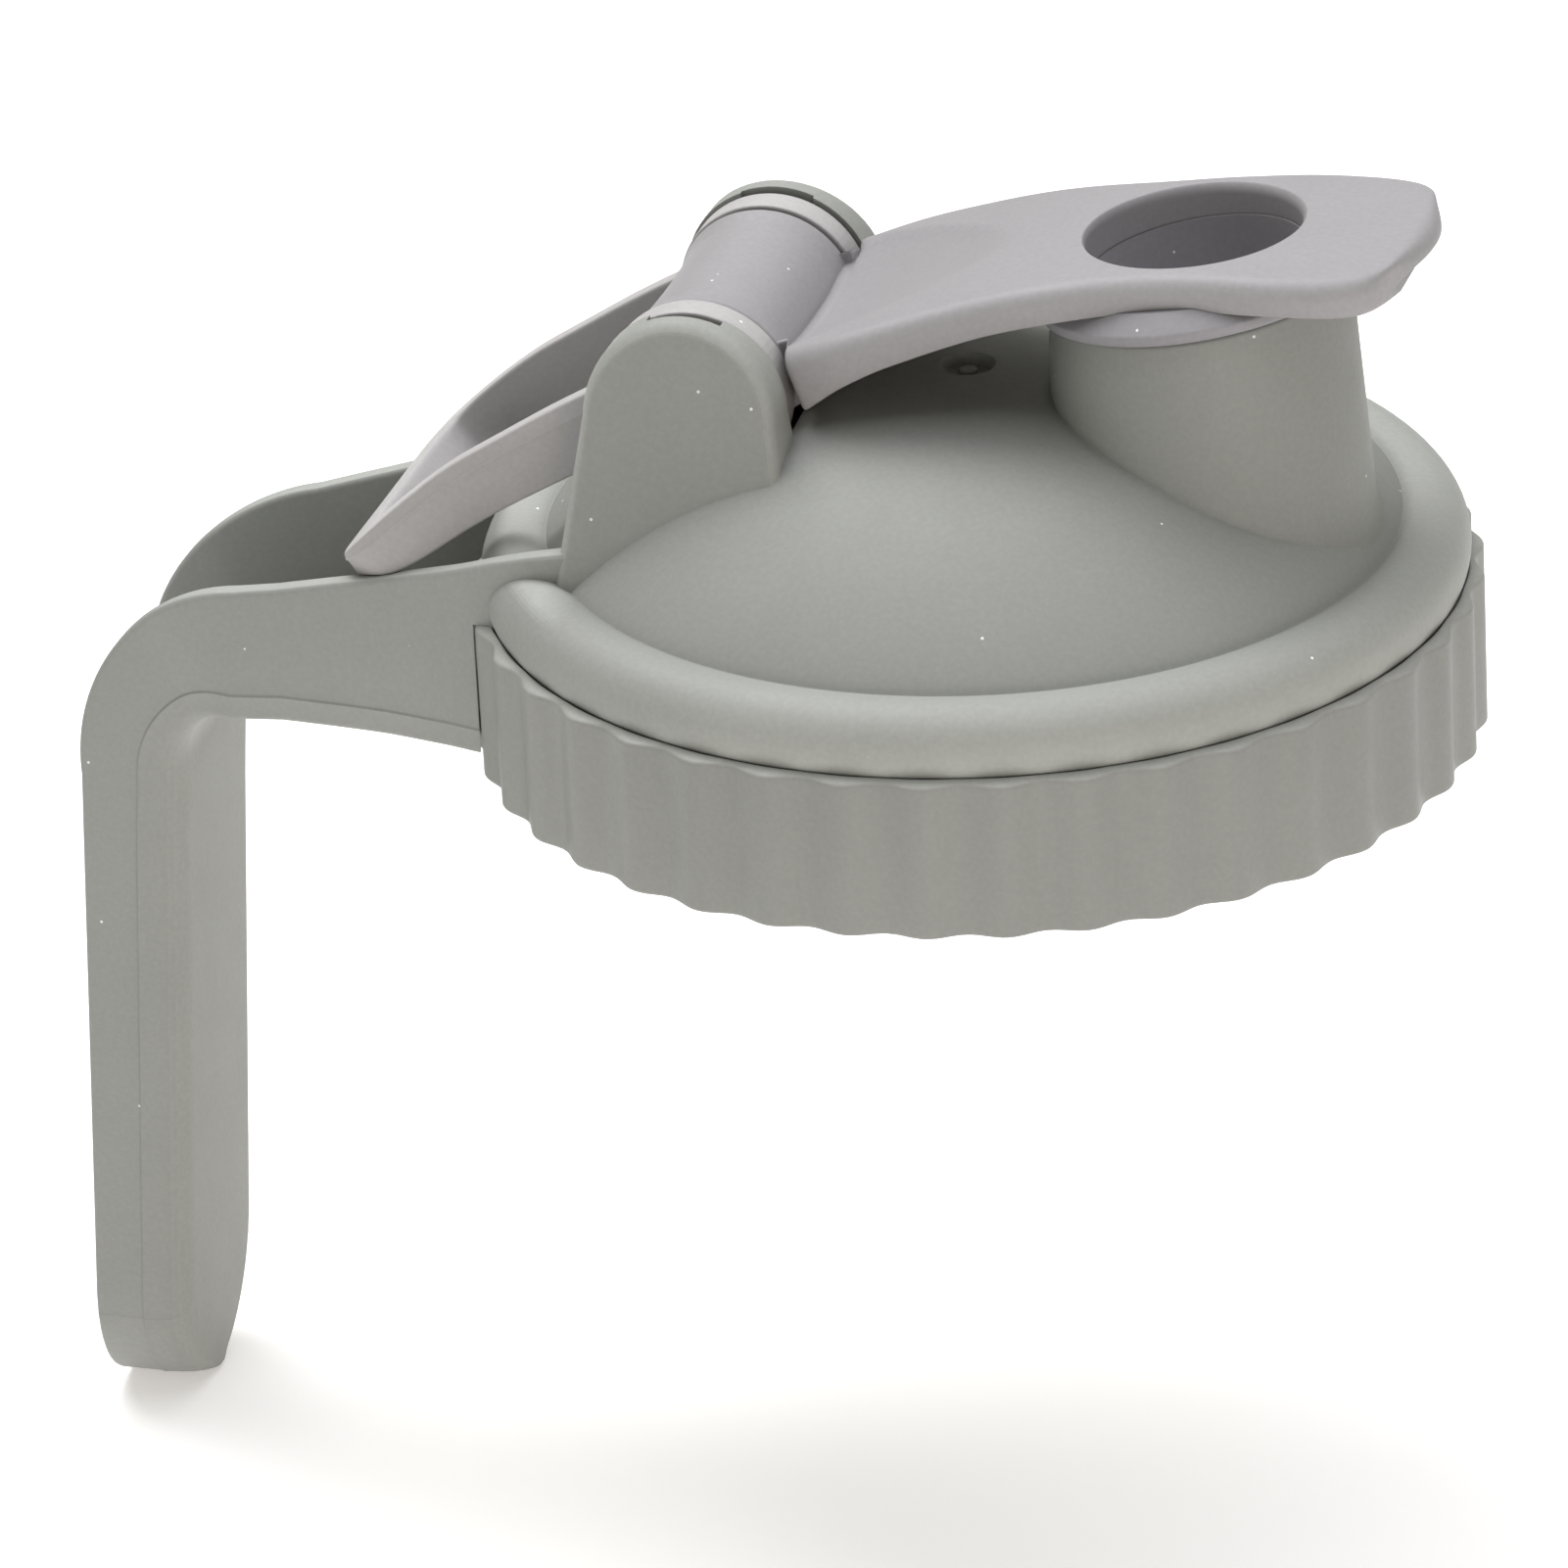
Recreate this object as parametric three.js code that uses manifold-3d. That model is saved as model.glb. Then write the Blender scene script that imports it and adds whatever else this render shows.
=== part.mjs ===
import * as THREE from 'three';
import { mergeVertices } from 'three/addons/utils/BufferGeometryUtils.js';
import Module from 'manifold-3d';

// Flip-cap pour lid with a side handle for a wide-mouth jar. Millimetres, +Z up.
// The origin is the centre of the screw ring's open end. The spout points along +X, the handle along -X.

const wasm = await Module();
wasm.setup();

// Fits and moulding thicknesses
const restGap = 0.3;
const runningGap = 0.05;
const plugGap = 0.45;
const wall = 2.2;
const overrun = 4;
const edgeRound = 1;

// How finely round shapes are stepped
const steps = { lobe: 6, body: 64, bore: 56, spout: 40, small: 32, arc: 5, edge: 4, curve: 8, across: 10, tip: 6 };

// Corners nearer each other than this are one corner.
const weld = 0.01;

// The lid's flange on the jar's rim, and the flange's place above the ring's open end
const flange = { bottom: 10.3, thickness: 2, ribDrop: 2, sideGap: 0.4 };

// The ring's walls and flange, all measured from the crests of its lobes
const crestRadius = 46.95;
const ringWall = 3.65;
const ringFlangeWidth = 3;
const ringFlangeThickness = 2;
const lipWidth = 1.45;
const lipHeight = 0.4;
const ringFlangeBottom = flange.bottom + flange.thickness + restGap;
const ring = {
  crestRadius,
  lobeCount: 40,
  lobeDepth: 0.9,
  boreRadius: crestRadius - ringWall,
  leadIn: 0.7,
  flangeInnerRadius: crestRadius - ringWall - ringFlangeWidth,
  flangeBottom: ringFlangeBottom,
  flangeTop: ringFlangeBottom + ringFlangeThickness,
  height: ringFlangeBottom + ringFlangeThickness + lipHeight,
  lipInnerRadius: crestRadius - lipWidth,
  lipRound: 0.45,
  footRound: 0.35,
};

const seat = {
  neckRadius: ring.flangeInnerRadius - flange.sideGap,
  flangeRadius: ring.boreRadius - flange.sideGap,
  flangeBottom: flange.bottom,
  flangeTop: flange.bottom + flange.thickness,
  ribBottom: flange.bottom - flange.ribDrop,
};

const gasketWidth = 5.1;
const gasket = {
  innerRadius: seat.flangeRadius - restGap - gasketWidth,
  outerRadius: seat.flangeRadius - restGap,
  thickness: 1.8,
};

// The bead round the lid over the ring, and the groove that hollows it
const beadInset = 5.35;
const beadRise = 2.1;
const grooveWidths = { inside: 0.4, outside: 2.3 };
const bead = {
  centreRadius: crestRadius - beadInset,
  centreHeight: ring.flangeTop + restGap + beadRise,
  radius: 4.1,
  bottom: ring.flangeTop + restGap,
  grooveInner: crestRadius - beadInset - grooveWidths.inside,
  grooveOuter: crestRadius - beadInset + grooveWidths.outside,
};

const valleyInset = 2.1;
const valleyRise = 3.54;
const crownRise = 14.96;
const dome = {
  crownHeight: bead.centreHeight + valleyRise + crownRise,
  valleyRadius: bead.centreRadius - valleyInset,
  valleyHeight: bead.centreHeight + valleyRise,
  fullness: 2.8,
  gateRadius: 2.5,
  gateDepth: 0.5,
  nubRadius: 0.9,
  stepShare: 0.8,
};

const cavityInset = 3.5;
const cavity = { radius: dome.valleyRadius - cavityInset, floorWall: 2.2, shrinkShare: 0.944 };

// The mouth is tilted towards the lid, so its frame leans back by this slope.
const mouth = { x: 22.4, z: 45, slope: 0.16, outerRadius: 13.75, boreRadius: 12.1, boreTaper: 0.071, seatDepth: 7 };
const spout = {
  baseHeight: 17.5,
  topHeight: 40.5,
  radiusAtMouth: 13.85,
  radiusDraft: 0.0425,
  centreAtMouth: 22.2,
  centreDraft: 0.041,
  footFlare: 1.6,
  footHeight: 24.5,
  footSteps: 4,
  boreWaistHeight: 32,
  boreWaistRadius: 11.9,
  boreFootX: 23.1,
  boreFootRadius: 12.4,
};

const hinge = { x: -22, z: 36.3, pinRadius: 3, journalRadius: 4, pinEnd: 17, holeEnd: 17.35 };
const barrel = { endRadius: 8.6, waistRadius: 8, halfLength: 10.9, flareLength: 2.4, flareShare: 0.25 };
const eye = { radius: 8.8, inner: 11.2, outer: 14.3 };
const trough = { radius: 9.4, wallRadius: 11.6 };
const ear = {
  archRadius: 9.1,
  innerFace: 14.6,
  outerFaceAtHinge: 19.85,
  draftSlope: 0.24,
  sideSlope: 0.15,
  baseHeight: 18,
  slotWidth: 7,
  slotDepth: 0.7,
  roundShare: 0.3,
};

// Handle outline in the side view, outward from where the arms leave the bead
const armInset = 14.75;
const armRootX = armInset - crestRadius;
const armReach = { mid: 17.5, end: 31.8, innerBend: 36.5, outerBend: 33.1, gripFace: 43.75, gripBack: 53.65 };
const arm = {
  rootX: armRootX,
  topAtRoot: 24.3,
  bottomAtRoot: 1.9,
  midX: armRootX - armReach.mid,
  topAtMid: 17.45,
  bottomAtMid: 0.8,
  endX: armRootX - armReach.end,
  topAtEnd: 13.6,
  bottomAtEnd: 0.2,
};
const corner = {
  innerX: armRootX - armReach.innerBend,
  innerZ: -7.4,
  innerRadius: 7,
  outerX: armRootX - armReach.outerBend,
  outerZ: -7.2,
  outerRadius: 20.5,
};
const cornerAngles = { from: 98, to: 183 };
const grip = {
  halfWidth: 11.1,
  top: -10,
  straightEnd: -64,
  tip: -77.2,
  faceTopX: armRootX - armReach.gripFace,
  faceSlope: 0.064,
  backTopX: armRootX - armReach.gripBack,
  backSlope: 0.0512,
  cornerRadius: 3.4,
  cornerRadiusAtArm: 0.6,
  sideShare: 0.3,
  cornerShare: 0.8,
  tipAngle: 80,
};
// Half-widths of the arms at distances outward from their root
const armWidths = [
  [42.8, 11.1],
  [29.8, 13.1],
  [19.8, 15],
  [14.8, 17.1],
  [9.8, 19.7],
  [3.8, 22],
  [0, 23.3],
];

// Lever stations along X: half-width, top edge and lower edge
const leverHalfWidths = [
  [-13.6, 14.3],
  [-8, 15],
  [0, 14.4],
  [8, 13.6],
  [16.5, 12.75],
  [24, 12.95],
  [31, 13.6],
  [36, 13.3],
  [39, 12.5],
  [41, 11.3],
  [43, 9.2],
  [44.3, 7.8],
];
const leverTop = [
  [-20, 39.3],
  [-13.6, 41.6],
  [-4, 45.1],
  [5.4, 48],
  [14.2, 49.8],
  [24, 51.1],
  [36.9, 51.7],
  [44.3, 52.1],
];
const leverBottom = [
  [-20, 32],
  [-12, 36.4],
  [-3.9, 41],
  [5.2, 44.3],
  [14.1, 46.2],
  [23.3, 47.6],
  [32, 48.1],
  [44.3, 48],
];
const lever = {
  rootX: -13.6,
  rootLean: 0.33,
  rootLeanEnd: -4,
  tipX: 44.3,
  tipLean: 0.16,
  tipBow: 2.2,
  tipStart: 39,
  edge: 1.8,
  crown: 0.45,
  neckHalfWidth: 10.6,
  neckStart: -19,
  scoopApex: 3.6,
  scoopDepth: 2.1,
  skin: 1.9,
  rim: 1.6,
  pocketStart: -9,
  pocketEnd: 37,
  ribWidth: 1.4,
  bossRadius: 14.6,
};
const thumbHole = { x: 21.7, z: 51.3, slope: 0.093, radius: 9.9, lip: 1.4 };

// Stopper, measured along the mouth's axis from the rim plane
const stopper = {
  skirtRadius: 15,
  skirtTop: 1.8,
  collarRadius: 11.7,
  collarTop: 2.6,
  cupTopRadius: 9.95,
  cupRadius: 9.6,
  cupFootRadius: 9,
  plugDepth: 7.6,
  floor: 1.1,
  footChamfer: 0.6,
  grooveTop: 2.3,
  grooveBottom: 4.4,
  grooveRadius: 10.6,
};
const seal = { crown: 0.35 };

// Carry loop: its top edge in the side view, and the band's depth square to that edge
const loopTopEdge = [
  [-22.5, 41.5],
  [-34, 35.4],
  [-42, 30.5],
  [-46, 27.9],
  [-50.1, 24.6],
  [-54.3, 20.7],
  [-57.4, 17.5],
];
const loopBand = [
  [-22.5, 7.2],
  [-34, 6.6],
  [-42, 6.1],
  [-48, 5.6],
  [-54.3, 4.2],
  [-57.4, 2.3],
];
// Carry loop from above: its outer and inner faces as distances from the middle plane
const loopOuter = [
  [-22.5, 14.3],
  [-34, 14.35],
  [-46, 14.4],
  [-50, 14.4],
  [-53, 14.3],
  [-55, 13.8],
  [-56.3, 12.8],
  [-57, 11],
  [-57.3, 7],
  [-57.4, 0],
];
const loopInner = [
  [-22.5, 12.1],
  [-34, 12.15],
  [-46, 12.2],
  [-49, 11.9],
  [-51.5, 10.9],
  [-52.9, 9.6],
  [-53.8, 8],
  [-54.4, 6],
  [-54.7, 3.5],
  [-54.8, 0],
];

const colours = {
  body: 0x8f948c,
  ring: 0x8b9088,
  lever: 0xb2afb4,
  seal: 0xb9b9b6,
};

const degrees = (angle) => THREE.MathUtils.degToRad(angle);
const mix = (from, to, share) => from + (to - from) * share;
const flip = (points) => [...points].reverse().map(([across, up]) => [-across, up]);
const range = (count) => Array.from({ length: count }, (_, index) => index);
const shares = (count) => range(count + 1).map((index) => index / count);

// Smooth value at x between the stations of a hand-picked list, which runs either way along x.
function along(stations, x) {
  const list = stations[0][0] < stations[stations.length - 1][0] ? stations : [...stations].reverse();
  const last = list.length - 1;
  const here = Math.min(Math.max(list.findIndex(([at]) => at > x) - 1, 0), last - 1);
  const index = x >= list[last][0] ? last - 1 : here;
  const slope = (at) => {
    const before = list[Math.max(at - 1, 0)];
    const after = list[Math.min(at + 1, last)];
    return (after[1] - before[1]) / (after[0] - before[0]);
  };
  const [x0, y0] = list[index];
  const [x1, y1] = list[index + 1];
  const width = x1 - x0;
  const t = THREE.MathUtils.clamp((x - x0) / width, 0, 1);
  const h = THREE.MathUtils;
  const ease = h.smoothstep(t, 0, 1);
  const leave = t * (1 - t) * (1 - t) * width * slope(index);
  const arrive = t * t * (1 - t) * width * slope(index + 1);
  return mix(y0, y1, ease) + leave - arrive;
}

// Points of an arc in a plane, from one angle to another, in degrees.
function arc(centreX, centreY, radius, from, to, count = steps.arc) {
  return shares(count).map((share) => {
    const angle = degrees(mix(from, to, share));
    return [centreX + radius * Math.cos(angle), centreY + radius * Math.sin(angle)];
  });
}

// A closed, outward-facing geometry with shared corners becomes a solid for joining and cutting.
function solidFrom(geometry) {
  geometry.deleteAttribute('normal');
  geometry.deleteAttribute('uv');
  const merged = mergeVertices(geometry);
  const position = merged.attributes.position.array;
  const index = merged.index.array;
  const kept = [];
  let volume = 0;
  const corner = (at) => new THREE.Vector3().fromArray(position, at * 3);
  for (let at = 0; at < index.length; at += 3) {
    const [a, b, c] = [index[at], index[at + 1], index[at + 2]];
    if (a === b || b === c || c === a) continue;
    kept.push([a, b, c]);
    volume += corner(a).dot(corner(b).cross(corner(c)));
  }
  const facing = volume > 0 ? kept : kept.map(([a, b, c]) => [a, c, b]);
  return new wasm.Manifold(new wasm.Mesh({
    numProp: 3,
    vertProperties: new Float32Array(position),
    triVerts: new Uint32Array(facing.flat()),
  }));
}

// Turned about Z from [radius, height] points that start and end on the axis or close on themselves.
function turned(profile, segments = steps.body) {
  const points = profile.map(([radius, height]) => new THREE.Vector2(radius, height));
  const geometry = new THREE.LatheGeometry(points, segments);
  geometry.rotateX(degrees(90));
  return solidFrom(geometry);
}

// Turned about the hinge axis, which lies along Y.
function turnedOnHinge(profile, segments = steps.small) {
  const points = profile.map(([radius, across]) => new THREE.Vector2(radius, across));
  const geometry = new THREE.LatheGeometry(points, segments);
  geometry.translate(hinge.x, 0, hinge.z);
  return solidFrom(geometry);
}

// Turned about an axis that leans back from Z in the XZ plane.
function turnedOnLean(profile, place, segments = steps.spout) {
  const points = profile.map(([radius, height]) => new THREE.Vector2(radius, height));
  const geometry = new THREE.LatheGeometry(points, segments);
  geometry.rotateX(degrees(90));
  geometry.rotateY(-Math.atan(place.slope));
  geometry.translate(place.x, 0, place.z);
  return solidFrom(geometry);
}

// An outline in the XZ plane, carried across Y.
function sideSlab(outline, from, to) {
  const shape = new THREE.Shape(outline.map(([x, z]) => new THREE.Vector2(x, z)));
  const geometry = new THREE.ExtrudeGeometry(shape, { depth: to - from, bevelEnabled: false });
  geometry.rotateX(degrees(90));
  geometry.translate(0, to, 0);
  return solidFrom(geometry);
}

// A skin through equal rows of points, closed at both ends on each row's middle.
function lofted(rows) {
  const count = rows[0].length;
  const points = rows.flat();
  const triangles = [];
  rows.slice(1).forEach((_, row) => {
    range(count).forEach((column) => {
      const next = (column + 1) % count;
      const a = row * count + column;
      const b = row * count + next;
      const c = (row + 1) * count + next;
      const d = (row + 1) * count + column;
      triangles.push([a, b, c], [a, c, d]);
    });
  });
  [[0, 1], [rows.length - 1, -1]].forEach(([row, side]) => {
    const middle = points.length;
    const centre = new THREE.Vector3();
    rows[row].forEach((point) => centre.addScaledVector(point, 1 / count));
    points.push(centre);
    range(count).forEach((column) => {
      const a = row * count + column;
      const b = row * count + ((column + 1) % count);
      triangles.push(side > 0 ? [middle, b, a] : [middle, a, b]);
    });
  });
  const geometry = new THREE.BufferGeometry().setFromPoints(points);
  geometry.setIndex(triangles.flat());
  return solidFrom(geometry);
}

function mesh(name, solid, material) {
  const data = solid.asOriginal().simplify(weld).getMesh();
  const geometry = new THREE.BufferGeometry();
  geometry.setAttribute('position', new THREE.BufferAttribute(data.vertProperties, 3));
  geometry.setIndex(new THREE.BufferAttribute(data.triVerts, 1));
  geometry.computeVertexNormals();
  const piece = new THREE.Mesh(geometry, material);
  piece.name = name;
  return piece;
}

function bodyPlastic() {
  return new THREE.MeshStandardMaterial({ color: colours.body, roughness: 0.62, metalness: 0 });
}

function ringPlastic() {
  return new THREE.MeshStandardMaterial({ color: colours.ring, roughness: 0.48, metalness: 0 });
}

function leverPlastic() {
  return new THREE.MeshStandardMaterial({ color: colours.lever, roughness: 0.5, metalness: 0 });
}

function sealRubber() {
  return new THREE.MeshStandardMaterial({ color: colours.seal, roughness: 0.75, metalness: 0 });
}

// One level of the ring's lobed outside, drawn in by an inset.
function lobedRow(height, inset) {
  const count = ring.lobeCount * steps.lobe;
  return range(count).map((column) => {
    const angle = (column / count) * 2 * Math.PI;
    const dip = (1 - Math.cos(ring.lobeCount * angle)) / 2;
    const radius = ring.crestRadius - inset - ring.lobeDepth * dip;
    return new THREE.Vector3(radius * Math.cos(angle), radius * Math.sin(angle), height);
  });
}

function screwRing() {
  const lip = ring.lipRound;
  const foot = ring.footRound;
  const outside = lofted([
    lobedRow(0, foot),
    lobedRow(foot, 0),
    lobedRow(ring.height - lip, foot / 2),
    lobedRow(ring.height - lip / 2, lip / 2),
    lobedRow(ring.height, lip),
  ]);
  const bore = turned([
    [0, -overrun],
    [ring.boreRadius + ring.leadIn, -overrun],
    [ring.boreRadius + ring.leadIn, 0],
    [ring.boreRadius, ring.leadIn],
    [ring.boreRadius, ring.flangeBottom],
    [ring.flangeInnerRadius, ring.flangeBottom],
    [ring.flangeInnerRadius, ring.flangeTop],
    [ring.lipInnerRadius, ring.flangeTop],
    [ring.lipInnerRadius, ring.height + overrun],
    [0, ring.height + overrun],
  ], steps.bore);
  return outside.subtract(bore);
}

// Height of the dome's outer face at a radius.
function domeHeight(radius) {
  const rise = dome.crownHeight - dome.valleyHeight;
  return dome.valleyHeight + rise * (1 - Math.pow(radius / dome.valleyRadius, dome.fullness));
}

function domeProfile() {
  const nub = dome.nubRadius;
  const gateFloor = dome.crownHeight - dome.gateDepth;
  const crown = [
    [0, dome.crownHeight],
    [nub, dome.crownHeight - dome.gateDepth / 2],
    [nub, gateFloor],
    [dome.gateRadius - dome.gateDepth, gateFloor],
    [dome.gateRadius, domeHeight(dome.gateRadius)],
  ];
  const curve = shares(steps.curve).map((share) => {
    const radius = mix(dome.gateRadius, dome.valleyRadius, Math.pow(share, dome.stepShare));
    return [radius, domeHeight(radius)];
  });
  return [...crown, ...curve.slice(1)];
}

function beadProfile() {
  const drop = Math.asin((bead.centreHeight - bead.bottom) / bead.radius);
  const start = Math.atan2(dome.valleyHeight - bead.centreHeight, dome.valleyRadius - bead.centreRadius);
  const points = arc(
    bead.centreRadius,
    bead.centreHeight,
    bead.radius,
    THREE.MathUtils.radToDeg(start),
    -THREE.MathUtils.radToDeg(drop),
    steps.curve,
  );
  return points.slice(1);
}

function domeSolid() {
  const ribOuter = gasket.innerRadius - restGap;
  return turned([
    ...domeProfile(),
    ...beadProfile(),
    [seat.neckRadius, bead.bottom],
    [seat.neckRadius, seat.flangeTop],
    [seat.flangeRadius, seat.flangeTop],
    [seat.flangeRadius, seat.flangeBottom],
    [ribOuter, seat.flangeBottom],
    [ribOuter, seat.ribBottom],
    [0, seat.ribBottom],
  ]);
}

function cavitySolid() {
  const inner = shares(steps.curve).map((share) => {
    const radius = cavity.radius * share;
    return [radius, domeHeight(radius / cavity.shrinkShare) - cavity.floorWall];
  });
  return turned([...inner, [cavity.radius, -overrun], [0, -overrun]], steps.bore);
}

function beadGroove() {
  return turned([
    [bead.grooveInner, bead.bottom - restGap],
    [bead.grooveOuter, bead.bottom - restGap],
    [bead.grooveOuter - edgeRound / 2, bead.centreHeight + wall],
    [bead.grooveInner + edgeRound / 2, bead.centreHeight + wall],
    [bead.grooveInner, bead.bottom - restGap],
  ], steps.bore);
}

// A circle of the spout at one height, level with the ground.
function levelCircle(x, z, radius, flare = 0) {
  return range(steps.spout).map((column) => {
    const angle = (column / steps.spout) * 2 * Math.PI;
    const out = radius + flare * Math.pow(Math.max(Math.cos(angle), 0), 2);
    return new THREE.Vector3(x + out * Math.cos(angle), out * Math.sin(angle), z);
  });
}

// A circle square to the mouth's axis, at a distance along it from the rim.
function mouthCircle(distance, radius) {
  const lean = Math.atan(mouth.slope);
  return levelCircle(0, distance, radius).map((point) => {
    point.applyAxisAngle(new THREE.Vector3(0, 1, 0), -lean);
    return point.add(new THREE.Vector3(mouth.x, 0, mouth.z));
  });
}

function spoutOutside() {
  const foot = shares(spout.footSteps).map((share) => mix(spout.baseHeight, spout.footHeight, share));
  const heights = [...foot, spout.boreWaistHeight, spout.topHeight];
  const level = heights.map((height) => {
    const below = mouth.z - height;
    const footShare = THREE.MathUtils.clamp(
      (spout.footHeight - height) / (spout.footHeight - spout.baseHeight), 0, 1);
    return levelCircle(
      spout.centreAtMouth + spout.centreDraft * below,
      height,
      spout.radiusAtMouth + spout.radiusDraft * below,
      spout.footFlare * footShare * footShare,
    );
  });
  return lofted([
    ...level,
    mouthCircle(-edgeRound / 2, mouth.outerRadius),
    mouthCircle(0, mouth.outerRadius - edgeRound / 2),
  ]);
}

function seatRadius(depth) {
  return mouth.boreRadius - mouth.boreTaper * depth;
}

function spoutBore() {
  return lofted([
    mouthCircle(overrun, seatRadius(-overrun)),
    mouthCircle(0, seatRadius(0)),
    mouthCircle(-mouth.seatDepth, seatRadius(mouth.seatDepth)),
    levelCircle(spout.boreFootX, spout.boreWaistHeight, spout.boreWaistRadius),
    levelCircle(spout.boreFootX, spout.baseHeight, spout.boreFootRadius),
  ]);
}

// One outline of the ear in the side view, drawn in by an inset.
function earOutline(inset) {
  const radius = ear.archRadius - inset;
  const foot = radius + ear.sideSlope * (hinge.z - ear.baseHeight);
  return [
    [hinge.x - foot, ear.baseHeight],
    ...arc(hinge.x, hinge.z, radius, 180, 0, steps.arc * 2),
    [hinge.x + foot, ear.baseHeight],
  ];
}

function earSolid(side) {
  const row = (inset, back) => earOutline(inset).map(([x, z]) => {
    const face = ear.outerFaceAtHinge - ear.draftSlope * (z - hinge.z);
    return new THREE.Vector3(x, side * (face - back), z);
  });
  const inner = earOutline(0).map(([x, z]) => new THREE.Vector3(x, side * ear.innerFace, z));
  return lofted([
    inner,
    row(0, edgeRound),
    row(edgeRound * ear.roundShare, edgeRound * ear.roundShare),
    row(edgeRound, 0),
  ]);
}

function earSlot(side) {
  const half = ear.slotWidth / 2;
  const deep = side * (ear.innerFace + ear.slotDepth);
  const open = side * (ear.innerFace - overrun);
  return sideSlab([
    [hinge.x - half, hinge.z],
    [hinge.x + half, hinge.z],
    [hinge.x + half, hinge.z + ear.archRadius + overrun],
    [hinge.x - half, hinge.z + ear.archRadius + overrun],
  ], Math.min(deep, open), Math.max(deep, open));
}

function trunnionHole() {
  const radius = hinge.pinRadius + runningGap;
  return turnedOnHinge([
    [0, -hinge.holeEnd],
    [radius, -hinge.holeEnd],
    [radius, hinge.holeEnd],
    [0, hinge.holeEnd],
  ]);
}

// Stations of the handle: the jar-side point, the outer point and the half-width of each section.
function handleStations(bendSteps) {
  const lower = [[arm.rootX, arm.bottomAtRoot], [arm.midX, arm.bottomAtMid], [arm.endX, arm.bottomAtEnd]];
  const upper = [[arm.rootX, arm.topAtRoot], [arm.midX, arm.topAtMid], [arm.endX, arm.topAtEnd]];
  const arms = shares(steps.curve).map((share) => {
    const x = mix(arm.rootX, arm.endX, share);
    return {
      inner: [x, along(lower, x)],
      outer: [x, along(upper, x)],
      half: along(armWidths, arm.rootX - x),
      round: grip.cornerRadiusAtArm,
    };
  });
  const bend = shares(bendSteps).map((share) => {
    const angle = degrees(mix(cornerAngles.from, cornerAngles.to, share));
    const inner = [
      corner.innerX + corner.innerRadius * Math.cos(angle),
      corner.innerZ + corner.innerRadius * Math.sin(angle),
    ];
    const outer = [
      corner.outerX + corner.outerRadius * Math.cos(angle),
      corner.outerZ + corner.outerRadius * Math.sin(angle),
    ];
    return {
      inner,
      outer,
      half: along(armWidths, arm.rootX - mix(inner[0], outer[0], grip.sideShare)),
      round: mix(grip.cornerRadiusAtArm, grip.cornerRadius, share),
    };
  });
  const section = (z, half) => ({
    inner: [grip.faceTopX + grip.faceSlope * (z - grip.top), z],
    outer: [grip.backTopX + grip.backSlope * (z - grip.top), z],
    half,
    round: grip.cornerRadius,
  });
  const straight = shares(steps.edge).slice(1).map((share) => (
    section(mix(grip.top, grip.straightEnd, share), grip.halfWidth)));
  const tip = shares(steps.tip).slice(1).map((share) => {
    const angle = degrees(grip.tipAngle * share);
    const z = mix(grip.straightEnd, grip.tip, Math.sin(angle));
    return section(z, grip.halfWidth * Math.cos(angle));
  });
  return [...arms, ...bend, ...straight, ...tip];
}

// One section of the handle: from one outer edge down the side, round the corner, across and back.
function handleRow({ inner, outer, half, round }, inset, reach) {
  const depth = Math.hypot(outer[0] - inner[0], outer[1] - inner[1]);
  const toward = [(outer[0] - inner[0]) / depth, (outer[1] - inner[1]) / depth];
  const place = (across, up) => new THREE.Vector3(
    inner[0] + toward[0] * up, across, inner[1] + toward[1] * up);
  const width = half - inset;
  const bend = Math.min(Math.max(round - inset, restGap), width * grip.cornerShare);
  const near = arc(width - bend, inset + bend, bend, 0, -90, steps.edge);
  const points = [[width, depth + reach], ...near];
  return [...points, ...flip(points)].map(([across, up]) => place(across, up));
}

function handleSolid() {
  const outside = lofted(handleStations(steps.curve).map((station) => handleRow(station, 0, 0)));
  const hollow = handleStations(steps.curve - 1).filter((station) => station.half > 2 * wall);
  const ahead = ([x, z]) => [x + overrun, z];
  const lead = { ...hollow[0], inner: ahead(hollow[0].inner), outer: ahead(hollow[0].outer) };
  const channel = lofted([lead, ...hollow].map((station) => handleRow(station, wall, overrun)));
  return outside.subtract(channel);
}

// Room for the ring to turn inside the arms.
function ringRoom() {
  const radius = ring.crestRadius + restGap;
  const top = ring.height + restGap;
  return turned([[0, -overrun], [radius, -overrun], [radius, top], [0, top]], steps.bore);
}

// A cylinder on the hinge axis, for the trough in which the barrel turns.
function troughRound(radius, halfWidth) {
  return turnedOnHinge([[0, -halfWidth], [radius, -halfWidth], [radius, halfWidth], [0, halfWidth]]);
}

function lidBody() {
  const ears = [-1, 1].map((side) => earSolid(side).subtract(earSlot(side)));
  const handle = handleSolid().subtract(ringRoom());
  return domeSolid()
    .subtract(beadGroove())
    .add(spoutOutside())
    .add(ears[0])
    .add(ears[1])
    .add(handle)
    .subtract(cavitySolid().subtract(troughRound(trough.wallRadius, ear.innerFace + wall)))
    .subtract(troughRound(trough.radius, ear.innerFace))
    .subtract(spoutBore())
    .subtract(trunnionHole());
}

function jarGasket() {
  const top = seat.flangeBottom - restGap;
  const bottom = top - gasket.thickness;
  return turned([
    [gasket.innerRadius, top],
    [gasket.innerRadius, bottom],
    [gasket.outerRadius, bottom],
    [gasket.outerRadius, top],
    [gasket.innerRadius, top],
  ], steps.bore);
}

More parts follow.
